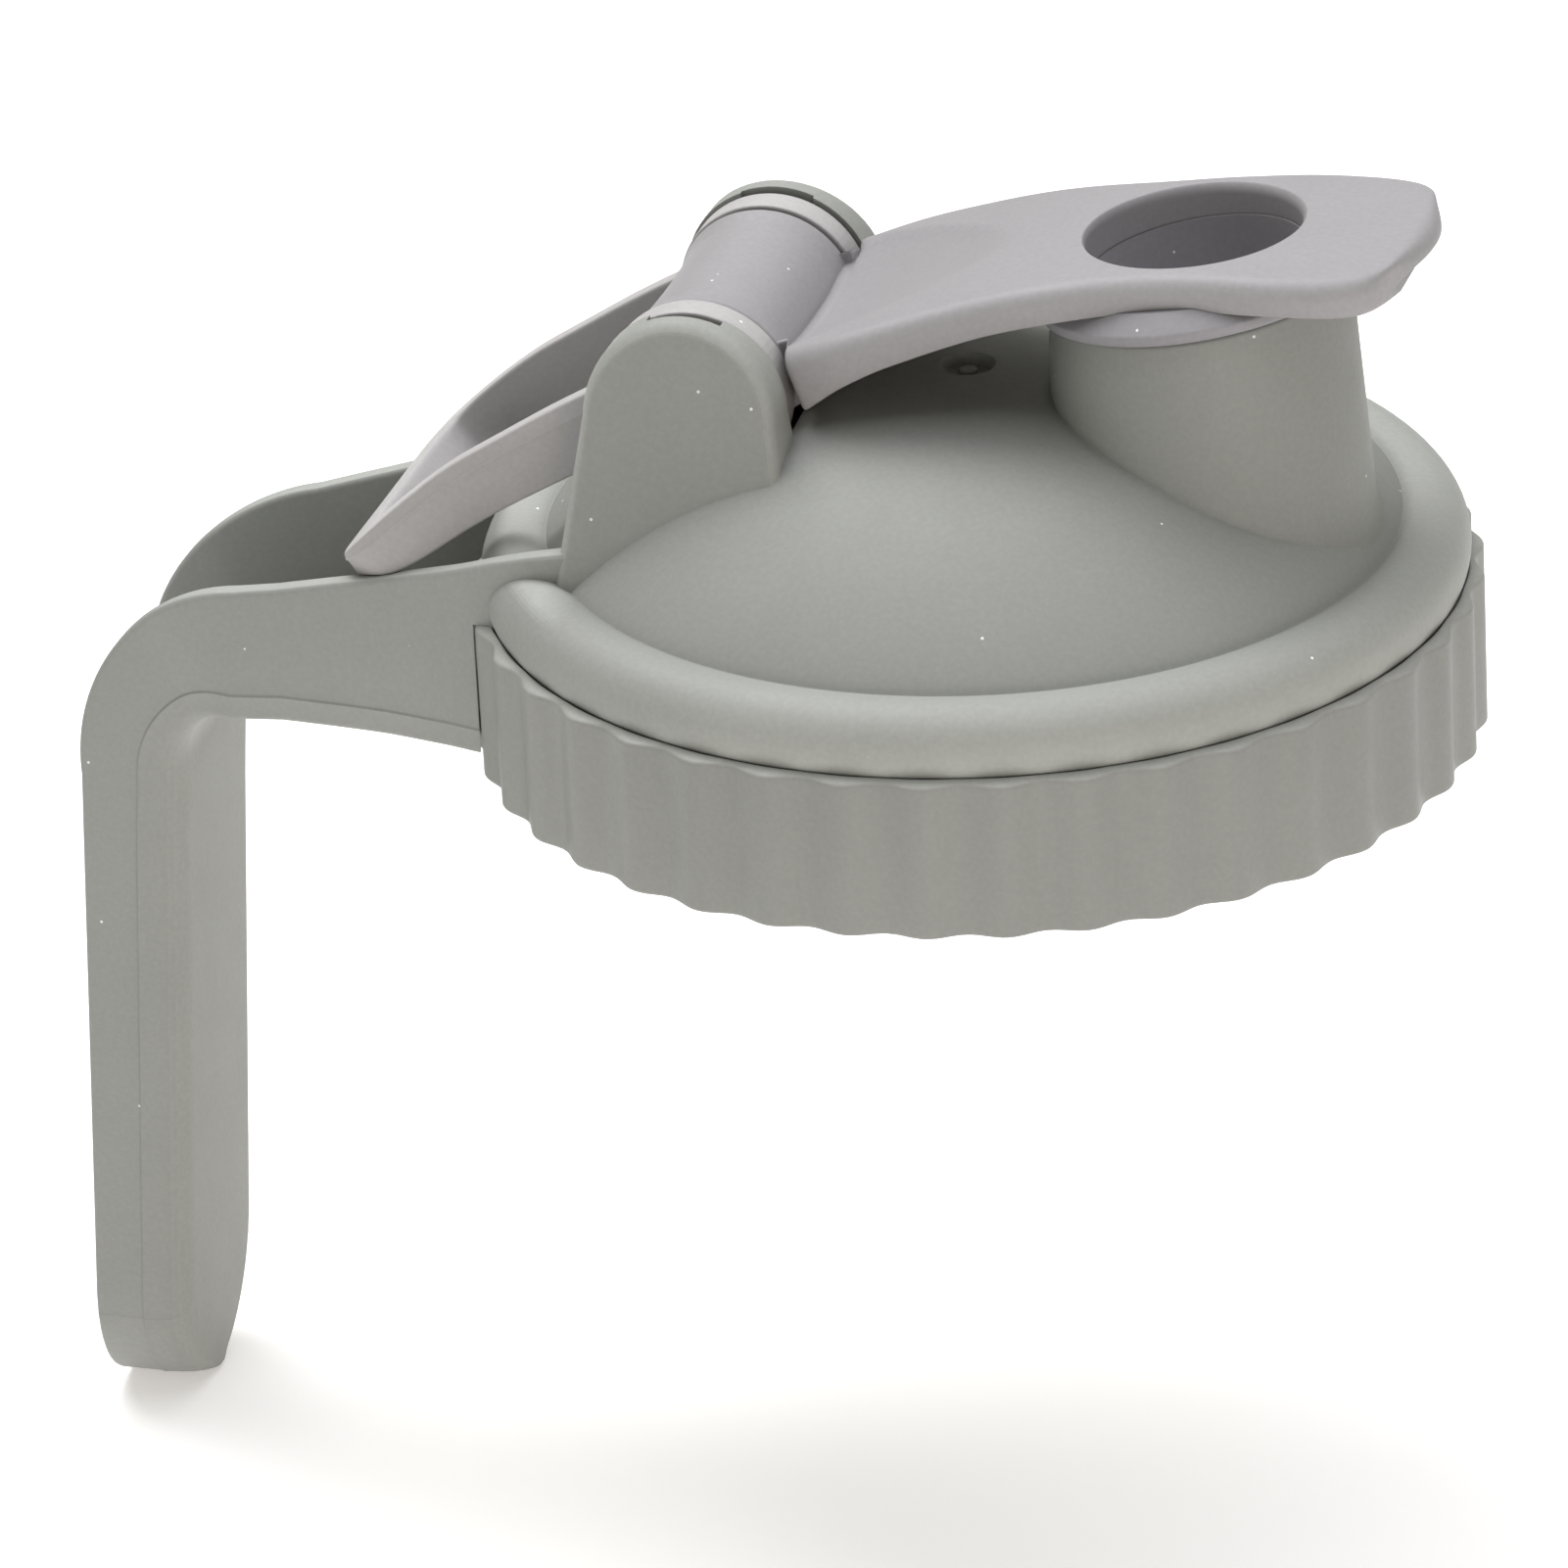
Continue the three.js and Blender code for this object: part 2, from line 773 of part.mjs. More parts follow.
function barrelSolid() {
  const half = barrel.halfLength;
  const flare = half - barrel.flareLength;
  const side = [
    [hinge.pinRadius - edgeRound / 2, hinge.pinEnd],
    [hinge.pinRadius, hinge.pinEnd - edgeRound / 2],
    [hinge.pinRadius, eye.outer],
    [hinge.journalRadius, eye.outer],
    [hinge.journalRadius, half],
    [barrel.endRadius, half],
    [mix(barrel.waistRadius, barrel.endRadius, barrel.flareShare), flare],
  ];
  const mirrored = [...side].reverse().map(([radius, across]) => [radius, -across]);
  return turnedOnHinge([[0, hinge.pinEnd], ...side, [barrel.waistRadius, 0], ...mirrored, [0, -hinge.pinEnd]]);
}

// Depth of the finger scoop behind the thumb hole, zero past its parabolic edge.
function scoop(x, y) {
  const ahead = (lever.scoopApex - x) / (lever.scoopApex - lever.rootX);
  if (ahead <= 0) return 0;
  const edge = (along(leverHalfWidths, x) - lever.edge) * Math.sqrt(ahead);
  const share = 1 - Math.pow(y / edge, 2);
  return lever.scoopDepth * Math.min(ahead, 1) * Math.max(share, 0);
}

// How far round the tip a station lies, from nothing at its start to one at the end.
function tipShare(x) {
  return Math.pow(THREE.MathUtils.clamp((x - lever.tipStart) / (lever.tipX - lever.tipStart), 0, 1), 2);
}

// How far the top rolls down towards the end of the tip.
function tipRoll(x) {
  const past = Math.max(x - lever.tipX + lever.edge, 0);
  return lever.edge - Math.sqrt(Math.max(lever.edge * lever.edge - past * past, 0));
}

function leverLean(x) {
  const root = THREE.MathUtils.clamp((lever.rootLeanEnd - x) / (lever.rootLeanEnd - lever.rootX), 0, 1);
  return lever.rootLean * root - lever.tipLean * tipShare(x);
}

// One section of the lever at x: across the top, round the edge, down and back along the bottom.
function leverRow(x, half, edge, sink, reach) {
  const top = along(leverTop, x) - tipRoll(x) - sink;
  const bottom = along(leverBottom, x) - reach;
  const lean = leverLean(x);
  const flat = half - edge;
  const across = shares(steps.across).map((share) => {
    const y = mix(-flat, flat, share);
    const crown = lever.crown * (1 - Math.pow(y / flat, 2));
    return [y, top + crown - scoop(x, y)];
  });
  const round = arc(flat, top - edge, edge, 90, 0, steps.edge).slice(1);
  const side = [...round, [half - restGap, bottom]];
  return [...across, ...side, ...flip(side)].map(([y, z]) => {
    const bow = lever.tipBow * tipShare(x) * Math.pow(y / half, 2);
    return new THREE.Vector3(x + lean * (top - z) - bow, y, z);
  });
}

// The arm, with the narrower neck that joins it to the barrel between the loop's eyes.
function leverArm() {
  const neck = [lever.neckStart, mix(lever.neckStart, lever.rootX, 1 / 2), lever.rootX - restGap];
  const long = shares(steps.across + steps.edge).map((share) => mix(lever.rootX, lever.tipStart, share));
  const tip = shares(steps.tip).slice(1).map((share) => (
    mix(lever.tipStart, lever.tipX, Math.sin(degrees(90 * share)))));
  return lofted([
    ...neck.map((x) => leverRow(x, lever.neckHalfWidth, restGap, 0, 0)),
    ...[...long, ...tip].map((x) => leverRow(x, along(leverHalfWidths, x), lever.edge, 0, 0)),
  ]);
}

function leverPocket() {
  const stations = shares(steps.curve).map((share) => mix(lever.pocketStart, lever.pocketEnd, share));
  const hollow = lofted(stations.map((x) => leverRow(
    x, along(leverHalfWidths, x) - lever.rim, restGap, lever.skin, overrun)));
  const rib = sideSlab([
    [lever.pocketStart - overrun, leverBottom[0][1]],
    [thumbHole.x, leverBottom[0][1]],
    [thumbHole.x, thumbHole.z],
    [lever.pocketStart - overrun, thumbHole.z],
  ], -lever.ribWidth / 2, lever.ribWidth / 2);
  const boss = turnedOnLean([
    [0, -stopper.plugDepth],
    [lever.bossRadius, -stopper.plugDepth],
    [lever.bossRadius, stopper.plugDepth],
    [0, stopper.plugDepth],
  ], mouth);
  return hollow.subtract(rib).subtract(boss);
}

function thumbHoleCut() {
  const lip = thumbHole.lip;
  return turnedOnLean([
    [0, overrun],
    [thumbHole.radius + lip * 2, overrun],
    [thumbHole.radius + lip, 0],
    ...arc(thumbHole.radius + lip, -lip, lip, 90, 180),
    [thumbHole.radius, -stopper.plugDepth],
    [0, -stopper.plugDepth],
  ], thumbHole);
}

// Room under the lever for the stopper's skirt and collar.
function stopperRoom() {
  const deep = -stopper.plugDepth - overrun;
  return turnedOnLean([
    [0, deep],
    [stopper.skirtRadius + restGap, deep],
    [stopper.skirtRadius + restGap, stopper.skirtTop + restGap],
    [stopper.collarRadius + restGap, stopper.skirtTop + restGap],
    [stopper.collarRadius + restGap, stopper.collarTop + restGap],
    [0, stopper.collarTop + restGap],
  ], mouth);
}

function flipLever() {
  return leverArm()
    .subtract(leverPocket())
    .add(barrelSolid())
    .subtract(stopperRoom())
    .subtract(thumbHoleCut());
}

function spoutStopper() {
  const skirtFoot = restGap;
  const plug = (depth) => seatRadius(depth) - plugGap;
  return turnedOnLean([
    [0, stopper.floor - stopper.plugDepth],
    [stopper.cupFootRadius - edgeRound, stopper.floor - stopper.plugDepth],
    [stopper.cupFootRadius, stopper.floor + edgeRound - stopper.plugDepth],
    [stopper.cupRadius, 0],
    [stopper.cupTopRadius, stopper.collarTop],
    [stopper.collarRadius, stopper.collarTop],
    [stopper.collarRadius, stopper.skirtTop],
    [stopper.skirtRadius - restGap, stopper.skirtTop],
    [stopper.skirtRadius, stopper.skirtTop - restGap],
    [stopper.skirtRadius, skirtFoot + restGap],
    [stopper.skirtRadius - restGap, skirtFoot],
    [plug(0), skirtFoot],
    [plug(stopper.grooveTop), -stopper.grooveTop],
    [stopper.grooveRadius, -stopper.grooveTop],
    [stopper.grooveRadius, -stopper.grooveBottom],
    [plug(stopper.grooveBottom), -stopper.grooveBottom],
    [plug(stopper.plugDepth), stopper.footChamfer - stopper.plugDepth],
    [plug(stopper.plugDepth) - stopper.footChamfer, -stopper.plugDepth],
    [0, -stopper.plugDepth],
  ], mouth);
}

function stopperSeal() {
  const top = -stopper.grooveTop - restGap;
  const bottom = restGap - stopper.grooveBottom;
  const middle = (top + bottom) / 2;
  const outer = seatRadius(-middle) - runningGap;
  const inner = stopper.grooveRadius + restGap;
  return turnedOnLean([
    [inner, top],
    [inner, bottom],
    [outer - seal.crown, bottom],
    [outer, middle],
    [outer - seal.crown, top],
    [inner, top],
  ], mouth);
}

function eyeSolid(side) {
  const hole = hinge.journalRadius + runningGap;
  return turnedOnHinge([
    [hole, side * eye.inner],
    [eye.radius, side * eye.inner],
    [eye.radius, side * eye.outer],
    [hole, side * eye.outer],
    [hole, side * eye.inner],
  ]);
}

// The top and bottom of the loop's band at x, for a face at a distance from the middle plane.
function loopEdges([x, across]) {
  const rise = (along(loopTopEdge, x + edgeRound) - along(loopTopEdge, x - edgeRound)) / (2 * edgeRound);
  const reach = along(loopBand, x) / Math.hypot(rise, 1);
  const top = along(loopTopEdge, x);
  return [new THREE.Vector3(x, across, top), new THREE.Vector3(x + reach * rise, across, top - reach)];
}

function loopRow(outer, inner, side) {
  const [outerTop, outerBottom] = loopEdges([outer[0], side * outer[1]]);
  const [innerTop, innerBottom] = loopEdges([inner[0], side * inner[1]]);
  return [outerTop, outerBottom, innerBottom, innerTop];
}

function carryLoop() {
  const near = loopOuter.map((outer, index) => loopRow(outer, loopInner[index], -1));
  const far = loopOuter.slice(0, -1).map((outer, index) => loopRow(outer, loopInner[index], 1));
  const shaft = turnedOnHinge([
    [0, -eye.outer - overrun],
    [hinge.journalRadius + runningGap, -eye.outer - overrun],
    [hinge.journalRadius + runningGap, eye.outer + overrun],
    [0, eye.outer + overrun],
  ]);
  const eyes = eyeSolid(-1).add(eyeSolid(1));
  return lofted([...near, ...far.reverse()]).add(eyes).subtract(shaft);
}

const lid = new THREE.Group();
const sage = bodyPlastic();
const lilac = leverPlastic();
const soft = sealRubber();
lid.add(mesh('screw_ring', screwRing(), ringPlastic()));
lid.add(mesh('lid_body', lidBody(), sage));
lid.add(mesh('jar_gasket', jarGasket(), soft));
lid.add(mesh('flip_lever', flipLever(), lilac));
lid.add(mesh('spout_stopper', spoutStopper(), lilac));
lid.add(mesh('stopper_seal', stopperSeal(), soft));
lid.add(mesh('carry_loop', carryLoop(), lilac));

export default lid;
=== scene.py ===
import math
from types import SimpleNamespace as Part

import bmesh
import bpy
import numpy as np
from mathutils import Matrix, Vector


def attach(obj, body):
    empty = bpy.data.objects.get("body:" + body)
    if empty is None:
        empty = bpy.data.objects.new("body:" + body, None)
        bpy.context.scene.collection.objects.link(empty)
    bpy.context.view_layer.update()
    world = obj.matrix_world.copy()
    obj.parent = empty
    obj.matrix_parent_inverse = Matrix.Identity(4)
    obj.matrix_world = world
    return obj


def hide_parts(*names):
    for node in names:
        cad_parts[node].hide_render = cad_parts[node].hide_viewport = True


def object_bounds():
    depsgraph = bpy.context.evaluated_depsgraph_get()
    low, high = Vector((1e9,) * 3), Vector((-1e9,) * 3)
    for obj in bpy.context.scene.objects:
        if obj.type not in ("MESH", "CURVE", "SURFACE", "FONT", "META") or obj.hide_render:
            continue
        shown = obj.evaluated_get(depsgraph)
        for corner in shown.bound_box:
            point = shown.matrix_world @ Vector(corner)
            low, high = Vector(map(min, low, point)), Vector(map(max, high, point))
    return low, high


# Flip-cap pour lid with a side handle. The modelling functions work in millimetres, in the CAD's frame.
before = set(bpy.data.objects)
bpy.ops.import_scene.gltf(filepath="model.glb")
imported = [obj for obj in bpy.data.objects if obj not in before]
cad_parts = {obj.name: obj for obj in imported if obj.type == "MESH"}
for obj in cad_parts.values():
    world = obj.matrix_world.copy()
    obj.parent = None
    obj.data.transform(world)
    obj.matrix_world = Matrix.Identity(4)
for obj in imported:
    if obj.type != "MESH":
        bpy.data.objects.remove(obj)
cad_low, cad_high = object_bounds()

MM = 0.001
WELD = 0.004
PHOTO_WIDTH = 1601

# Fits and moulding thicknesses
REST_GAP = 0.3
RUNNING_GAP = 0.05
PLUG_GAP = 0.45
WALL = 2.2
OVERRUN = 4

# How finely round shapes are stepped
FINE = Part(
    round=144, bore=128, spout=112, small=72, lobe=14, arc=8, curve=34, bead=30, long=56, bend=36, tip=18,
)
# Edges that turn by more degrees than this stay sharp
SHARP_ANGLE = 32

ring = Part(
    crest=46.95, lobes=40, lobe_depth=0.9, height=15, bore=43.3, lead_in=0.7, flange_inner=40.3,
    flange_bottom=12.6, flange_top=14.6, lip_inner=45.48, lip_rise=0.32, lip_round=0.5,
    foot_round=0.4, inner_round=0.15,
)
thread = Part(
    root=43.4, crest=42.3, foot=1.7, crest_width=0.8, start=1.9, pitch=4.2, turns=1.25, taper=0.12, steps=180,
)
dome = Part(
    crown=35.5, valley_radius=39.5, valley=20.54, fullness=2.8, gate=2.7, gate_depth=0.8, nub=0.9,
    gate_lip=0.12, step_power=0.8,
)
bead = Part(x=41.6, z=17, radius=4.1, bottom=14.9, groove_inner=41.2, groove_outer=43.9, groove_taper=0.5)
seat = Part(neck=39.9, flange=42.9, flange_bottom=10.3, flange_top=12.3, rib_bottom=8.3, rib_outer=37.2)
cavity = Part(radius=36, floor_wall=2.2, shrink=0.944)
mouth = Part(x=22.4, z=45, slope=0.16, outer=13.75, bore=12.1, bore_taper=0.071, seat_depth=7, round=0.5)
spout = Part(
    base=17.5, top=40.5, radius=13.85, draft=0.0425, centre=22.2, centre_draft=0.041, foot_flare=2.4,
    foot_height=24.5, waist=32, waist_radius=11.9, foot_x=23.1, foot_radius=12.4,
)
hinge = Part(x=-22, z=36.3, pin=3, journal=4, pin_end=17, hole_end=17.35)
barrel = Part(
    end=8.6, waist=8, half=10.9, flare=2.4, flare_share=0.25, pin_chamfer=0.5, round=0.35, round_step=0.1,
)
eye = Part(radius=8.8, inner=11.2, outer=14.3)
trough = Part(radius=9.4, wall_radius=11.6)
ear = Part(
    arch=9.1, inner=14.6, outer=19.85, draft=0.24, side_slope=0.15, base=18, slot_width=7,
    slot_depth=1.3, far_slot_depth=0.45, round=1.3,
)
arm = Part(root_x=-32.2, end_x=-64)
corner = Part(
    inner_x=-68.7, inner_z=-7.4, inner_radius=7, outer_x=-65.3, outer_z=-7.5, outer_radius=20.5,
    start=98, end=183,
)
grip = Part(
    half=11.1, top=-10, straight_end=-64, tip=-77.2, face_x=-75.95, face_slope=0.064, back_x=-85.85,
    back_slope=0.0512, corner=3.4, corner_at_arm=0.6, side_share=0.3, corner_share=0.8, tip_angle=80, rim=0.6,
    seam_at_arm=2.5, seam=4.2, seam_half=0.2, seam_rise=0.16, cross_seam=-67, cross_rise=0.07,
)
ARM_WIDTHS = [
    (-75, 11.1), (-70, 12.9), (-66, 13.7), (-62, 14.3), (-57, 15.1), (-52, 16.2),
    (-47, 18.1), (-42, 20.5), (-37, 22.2), (-32.2, 22.8),
]
ARM_TOP = [(-64, 13.8), (-58, 15.35), (-52, 16.95), (-46, 19.1), (-40, 21.7), (-36, 23.1), (-32.2, 24)]
ARM_BOTTOM = [(-64, 0.3), (-57, 0.55), (-50, 0.9), (-44, 1.55), (-32.2, 2.9)]
LEVER_HALF = [
    (-13.6, 14.3), (-8, 15), (0, 14.4), (8, 13.6), (16.5, 12.75), (24, 12.95),
    (31, 13.6), (36, 13.4), (39, 12.7), (41, 11.6), (43, 9.6), (44.3, 8),
]
LEVER_TOP = [
    (-20, 39.3), (-13.6, 41.6), (-4, 45.1), (5.4, 48), (14.2, 49.8), (24, 51.1), (36.9, 51.7), (44.3, 52.1),
]
LEVER_BOTTOM = [
    (-20, 32), (-12, 36.7), (-8.5, 38.75), (-3.9, 40.8), (5.2, 44.2), (14.1, 46.2),
    (23.3, 47.6), (32, 48.1), (39.3, 48.2), (44.3, 49),
]
lever = Part(
    root_x=-13.6, root_lean=0.33, root_lean_end=-4, tip_x=44.3, tip_lean=0.03, tip_bow=1.9, tip_start=39,
    edge=1.8, tip_edge=0.8, crown=0.45, neck_half=10.6, neck_start=-19, scoop_apex=3.6, scoop_depth=2.4,
    scoop_power=0.7, skin=1.9, rim=1.6, pocket_start=-9, pocket_end=37, rib_width=1.4, boss=14.6,
    foot_round=0.35, body_start=0.9,
)
# Steps from the lever's root, each with what it lacks of the full section
LEVER_ROOT = [(0, 0.5), (0.08, 0.25), (0.3, 0.06), (0.7, 0)]
thumb_hole = Part(x=21.7, z=51.3, slope=0.093, radius=9.9, lip=1.4)
stopper = Part(
    skirt=15, skirt_shoulder=13.2, skirt_top=2.9, skirt_side=1, fit=0.015, collar=11.7, collar_top=2.87,
    cup_top=9.9, cup=9.6, cup_foot=9, depth=7.6, floor=1.1, foot_chamfer=0.6,
    groove_top=2.3, groove_bottom=4.4, groove=10.6,
)
LOOP_TOP = [(-22.5, 41.5), (-34, 35.4), (-42, 30.5), (-46, 27.9), (-50.1, 24.6), (-54.3, 20.7), (-57.4, 17.5)]
LOOP_BAND = [(-22.5, 7.2), (-34, 6.6), (-42, 6.2), (-48, 5.9), (-54.3, 4.7), (-57.4, 2.2)]
LOOP_OUTER = [
    (-22.5, 14.3), (-34, 14.35), (-46, 14.4), (-50, 14.8), (-54, 15.2), (-55.8, 15),
    (-56.8, 14), (-57.3, 12.2), (-57.4, 10), (-57.4, 5), (-57.4, 0),
]
LOOP_INNER = [
    (-22.5, 12.1), (-34, 12.15), (-46, 12.2), (-50, 12.2), (-52, 12), (-53.5, 11.3),
    (-54.3, 10), (-54.7, 8), (-54.85, 6), (-54.9, 3), (-54.9, 0),
]
loop = Part(
    round=0.45, foot_share=0.6, round_steps=6, seam=0.14, seam_width=0.25, seam_share=0.24, rise_span=1,
)

# Fitted camera: distance and shifts in millimetres, focal length in pixels of the
# photograph, clips in metres
camera_fit = Part(
    distance=1000, focal=10988, yaw=-17.4, pitch=25.56, roll=-2.94, across=18.45, up=6.39, sensor=36,
    clip_start=0.01, clip_end=20,
)


def shares(count):
    return [index / count for index in range(count + 1)]


def mix(start, end, share):
    return start + (end - start) * share


def clamp(value, low=0.0, high=1.0):
    return min(max(value, low), high)


def along(stations, x):
    """Smooth value at x between the stations of a given list, which runs either way along x."""
    points = stations if stations[0][0] < stations[-1][0] else stations[::-1]
    last = len(points) - 1
    index = last - 1
    for at in range(last):
        if x < points[at + 1][0]:
            index = at
            break

    def slope(at):
        before = points[max(at - 1, 0)]
        after = points[min(at + 1, last)]
        return (after[1] - before[1]) / (after[0] - before[0])

    x0, y0 = points[index]
    x1, y1 = points[index + 1]
    width = x1 - x0
    t = clamp((x - x0) / width)
    ease = t * t * (3 - 2 * t)
    leave = t * (1 - t) ** 2 * width * slope(index)
    arrive = t * t * (1 - t) * width * slope(index + 1)
    return mix(y0, y1, ease) + leave - arrive


def arc(x, y, radius, start, end, count=FINE.arc):
    angles = [math.radians(mix(start, end, share)) for share in shares(count)]
    return [(x + radius * math.cos(angle), y + radius * math.sin(angle)) for angle in angles]


def rounded(corners, count=4, closed=False):
    """A flat outline of (x, y, radius) corners with each corner rounded by its radius."""
    out = []
    total = len(corners)
    for index, (x, y, radius) in enumerate(corners):
        end = not closed and index in (0, total - 1)
        if end or radius == 0:
            out.append((x, y))
            continue
        here = Vector((x, y))
        before = Vector(corners[index - 1][:2]) - here
        after = Vector(corners[(index + 1) % total][:2]) - here
        half = before.angle(after) / 2
        reach = min(radius / math.tan(half), before.length * 0.48, after.length * 0.48)
        first = here + before.normalized() * reach
        second = here + after.normalized() * reach
        for share in shares(count):
            point = first * (1 - share) ** 2 + here * 2 * share * (1 - share) + second * share ** 2
            out.append((point.x, point.y))
    if closed:
        out.append(out[0])
    return out


def solid(name, points, faces):
    """A closed object from points in millimetres, with its faces turned out."""
    mesh = bpy.data.meshes.new(name)
    mesh.from_pydata([Vector(point) * MM for point in points], [], faces)
    work = bmesh.new()
    work.from_mesh(mesh)
    bmesh.ops.remove_doubles(work, verts=work.verts, dist=WELD * MM)
    bmesh.ops.dissolve_degenerate(work, dist=WELD * MM, edges=work.edges)
    bmesh.ops.recalc_face_normals(work, faces=work.faces)
    if work.calc_volume(signed=True) < 0:
        bmesh.ops.reverse_faces(work, faces=work.faces)
    work.to_mesh(mesh)
    work.free()
    piece = bpy.data.objects.new(name, mesh)
    bpy.context.scene.collection.objects.link(piece)
    return piece


def grid_faces(rows, columns):
    faces = []
    for row in range(rows - 1):
        for column in range(columns):
            beside = (column + 1) % columns
            faces.append((row * columns + column, row * columns + beside,
                          (row + 1) * columns + beside, (row + 1) * columns + column))
    return faces


def lofted(name, rows):
    """A skin through equal rows of points, closed at both ends on each row's middle."""
    columns = len(rows[0])
    points = [tuple(point) for row in rows for point in row]
    faces = grid_faces(len(rows), columns)
    for row in (0, len(rows) - 1):
        middle = len(points)
        points.append(tuple(np.mean([tuple(point) for point in rows[row]], axis=0)))
        for column in range(columns):
            beside = (column + 1) % columns
            faces.append((row * columns + column, row * columns + beside, middle))
    return solid(name, points, faces)


def turned(name, profile, segments=FINE.round, place=None, lobe=None):
    """Turned from (radius, height) points that start and end on the axis or close on themselves."""
    move = place or Matrix.Identity(4)
    points = []
    for radius, height in profile:
        for column in range(segments):
            angle = 2 * math.pi * column / segments
            out = radius - (lobe(radius, angle) if lobe else 0)
            points.append(move @ Vector((out * math.cos(angle), out * math.sin(angle), height)))
    return solid(name, points, grid_faces(len(profile), segments))


def rod(name, radius, low, high, segments, place=None):
    """A plain cylinder between two heights on the turning axis."""
    return turned(name, [(0, low), (radius, low), (radius, high), (0, high)], segments, place)


def on_hinge():
    """Lays a turned part's axis along the hinge."""
    return Matrix.Translation((hinge.x, 0, hinge.z)) @ Matrix.Rotation(math.radians(-90), 4, "X")


def on_lean(place):
    """Leans a turned part's axis back by a slope, as the mouth and the thumb hole lean."""
    return Matrix.Translation((place.x, 0, place.z)) @ Matrix.Rotation(-math.atan(place.slope), 4, "Y")


def combine(piece, others, operation):
    """The piece after joining, cutting or trimming by the others, which are used up."""
    for other in others:
        step = piece.modifiers.new(operation, "BOOLEAN")
        step.operation = operation
        step.solver = "MANIFOLD"
        step.object = other
        graph = bpy.context.evaluated_depsgraph_get()
        result = bpy.data.meshes.new_from_object(piece.evaluated_get(graph))
        piece.modifiers.clear()
        spent = piece.data
        piece.data = result
        bpy.data.meshes.remove(spent)
        bpy.data.meshes.remove(other.data)
    return piece


def join(piece, *others):
    return combine(piece, others, "UNION")


def cut(piece, *others):
    return combine(piece, others, "DIFFERENCE")


def slab(name, outline, start, end):
    """An outline in the XZ plane, carried across Y."""
    rows = [[(x, y, z) for x, z in outline] for y in (start, end)]
    return lofted(name, rows)


def finish_piece(piece, name, body, node, material):
    """Names the piece, smooths it up to its sharp edges, and hands it to the frame."""
    piece.name = name
    piece.data.name = name
    work = bmesh.new()
    work.from_mesh(piece.data)
    bmesh.ops.remove_doubles(work, verts=work.verts, dist=WELD * MM)
    bmesh.ops.dissolve_degenerate(work, dist=WELD * MM, edges=work.edges)
    work.to_mesh(piece.data)
    work.free()
    piece.data.shade_smooth()
    piece.data.set_sharp_from_angle(angle=math.radians(SHARP_ANGLE))
    piece.data.materials.clear()
    piece.data.materials.append(material)
    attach(piece, body)
    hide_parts(node)
    return piece


# The screw ring


def ring_lobe(radius, angle):
    """How far the lobed outside dips at an angle, and nothing inside the lip."""
    outside = clamp((radius - ring.lip_inner) / (ring.crest - ring.lip_round - ring.lip_inner))
    return ring.lobe_depth * outside * (1 - math.cos(ring.lobes * angle)) / 2


def ring_profile():
    small = ring.inner_round
    return rounded([
        (ring.crest, 0, ring.foot_round),
        (ring.crest, ring.height, ring.lip_round),
        (ring.lip_inner, ring.height + ring.lip_rise, small),
        (ring.lip_inner, ring.flange_top, small),
        (ring.flange_inner, ring.flange_top, small),
        (ring.flange_inner, ring.flange_bottom, small),
        (ring.bore, ring.flange_bottom, small),
        (ring.bore, ring.lead_in, small),
        (ring.bore + ring.lead_in, 0, small),
    ], closed=True)


def thread_solid():
    """A ridge that winds up the inside of the ring and fades in and out at its ends."""
    rows = []
    for share in shares(thread.steps):
        angle = 2 * math.pi * thread.turns * share
        fade = clamp(min(share, 1 - share) / thread.taper)
        crest = mix(thread.root, thread.crest, math.sin(fade * math.pi / 2))
        z = thread.start + thread.pitch * thread.turns * share
        outline = [
            (thread.root + REST_GAP, z - thread.foot / 2),
            (crest, z - thread.crest_width / 2),
            (crest, z + thread.crest_width / 2),
            (thread.root + REST_GAP, z + thread.foot / 2),
        ]
        rows.append([(r * math.cos(angle), r * math.sin(angle), height) for r, height in outline])
    return lofted("thread", rows)


def make_ring():
    piece = turned("ring", ring_profile(), ring.lobes * FINE.lobe, lobe=ring_lobe)
    return join(piece, thread_solid())


# The lid body


def dome_height(radius):
    rise = dome.crown - dome.valley
    return dome.valley + rise * (1 - abs(radius / dome.valley_radius) ** dome.fullness)


def dome_profile():
    floor = dome.crown - dome.gate_depth
    gate = rounded([
        (0, dome.crown - dome.gate_depth / 2, 0),
        (dome.nub, dome.crown - dome.gate_depth / 2, 0.2),
        (dome.nub, floor, 0.1),
        (dome.gate - dome.gate_depth, floor, 0.2),
        (dome.gate - dome.gate_lip, dome_height(dome.gate) + dome.gate_lip, 0.1),
        (dome.gate + 1, dome_height(dome.gate + 1), 0),
    ])
    radii = [mix(dome.gate + 1, dome.valley_radius, share ** dome.step_power) for share in shares(FINE.curve)]
    return gate + [(radius, dome_height(radius)) for radius in radii[1:]]


def bead_profile():
    drop = math.degrees(math.asin((bead.z - bead.bottom) / bead.radius))
    start = math.degrees(math.atan2(dome.valley - bead.z, dome.valley_radius - bead.x))
    return arc(bead.x, bead.z, bead.radius, start, -drop, FINE.bead)[1:]


def dome_solid():
    return turned("dome", [
        *dome_profile(),
        *bead_profile(),
        (seat.neck, bead.bottom),
        (seat.neck, seat.flange_top),
        (seat.flange, seat.flange_top),
        (seat.flange, seat.flange_bottom),
        (seat.rib_outer, seat.flange_bottom),
        (seat.rib_outer, seat.rib_bottom),
        (0, seat.rib_bottom),
    ])


def cavity_solid():
    inner = [
        (cavity.radius * share, dome_height(cavity.radius * share / cavity.shrink) - cavity.floor_wall)
        for share in shares(FINE.curve)
    ]
    return turned("cavity", [*inner, (cavity.radius, -OVERRUN), (0, -OVERRUN)], FINE.bore)


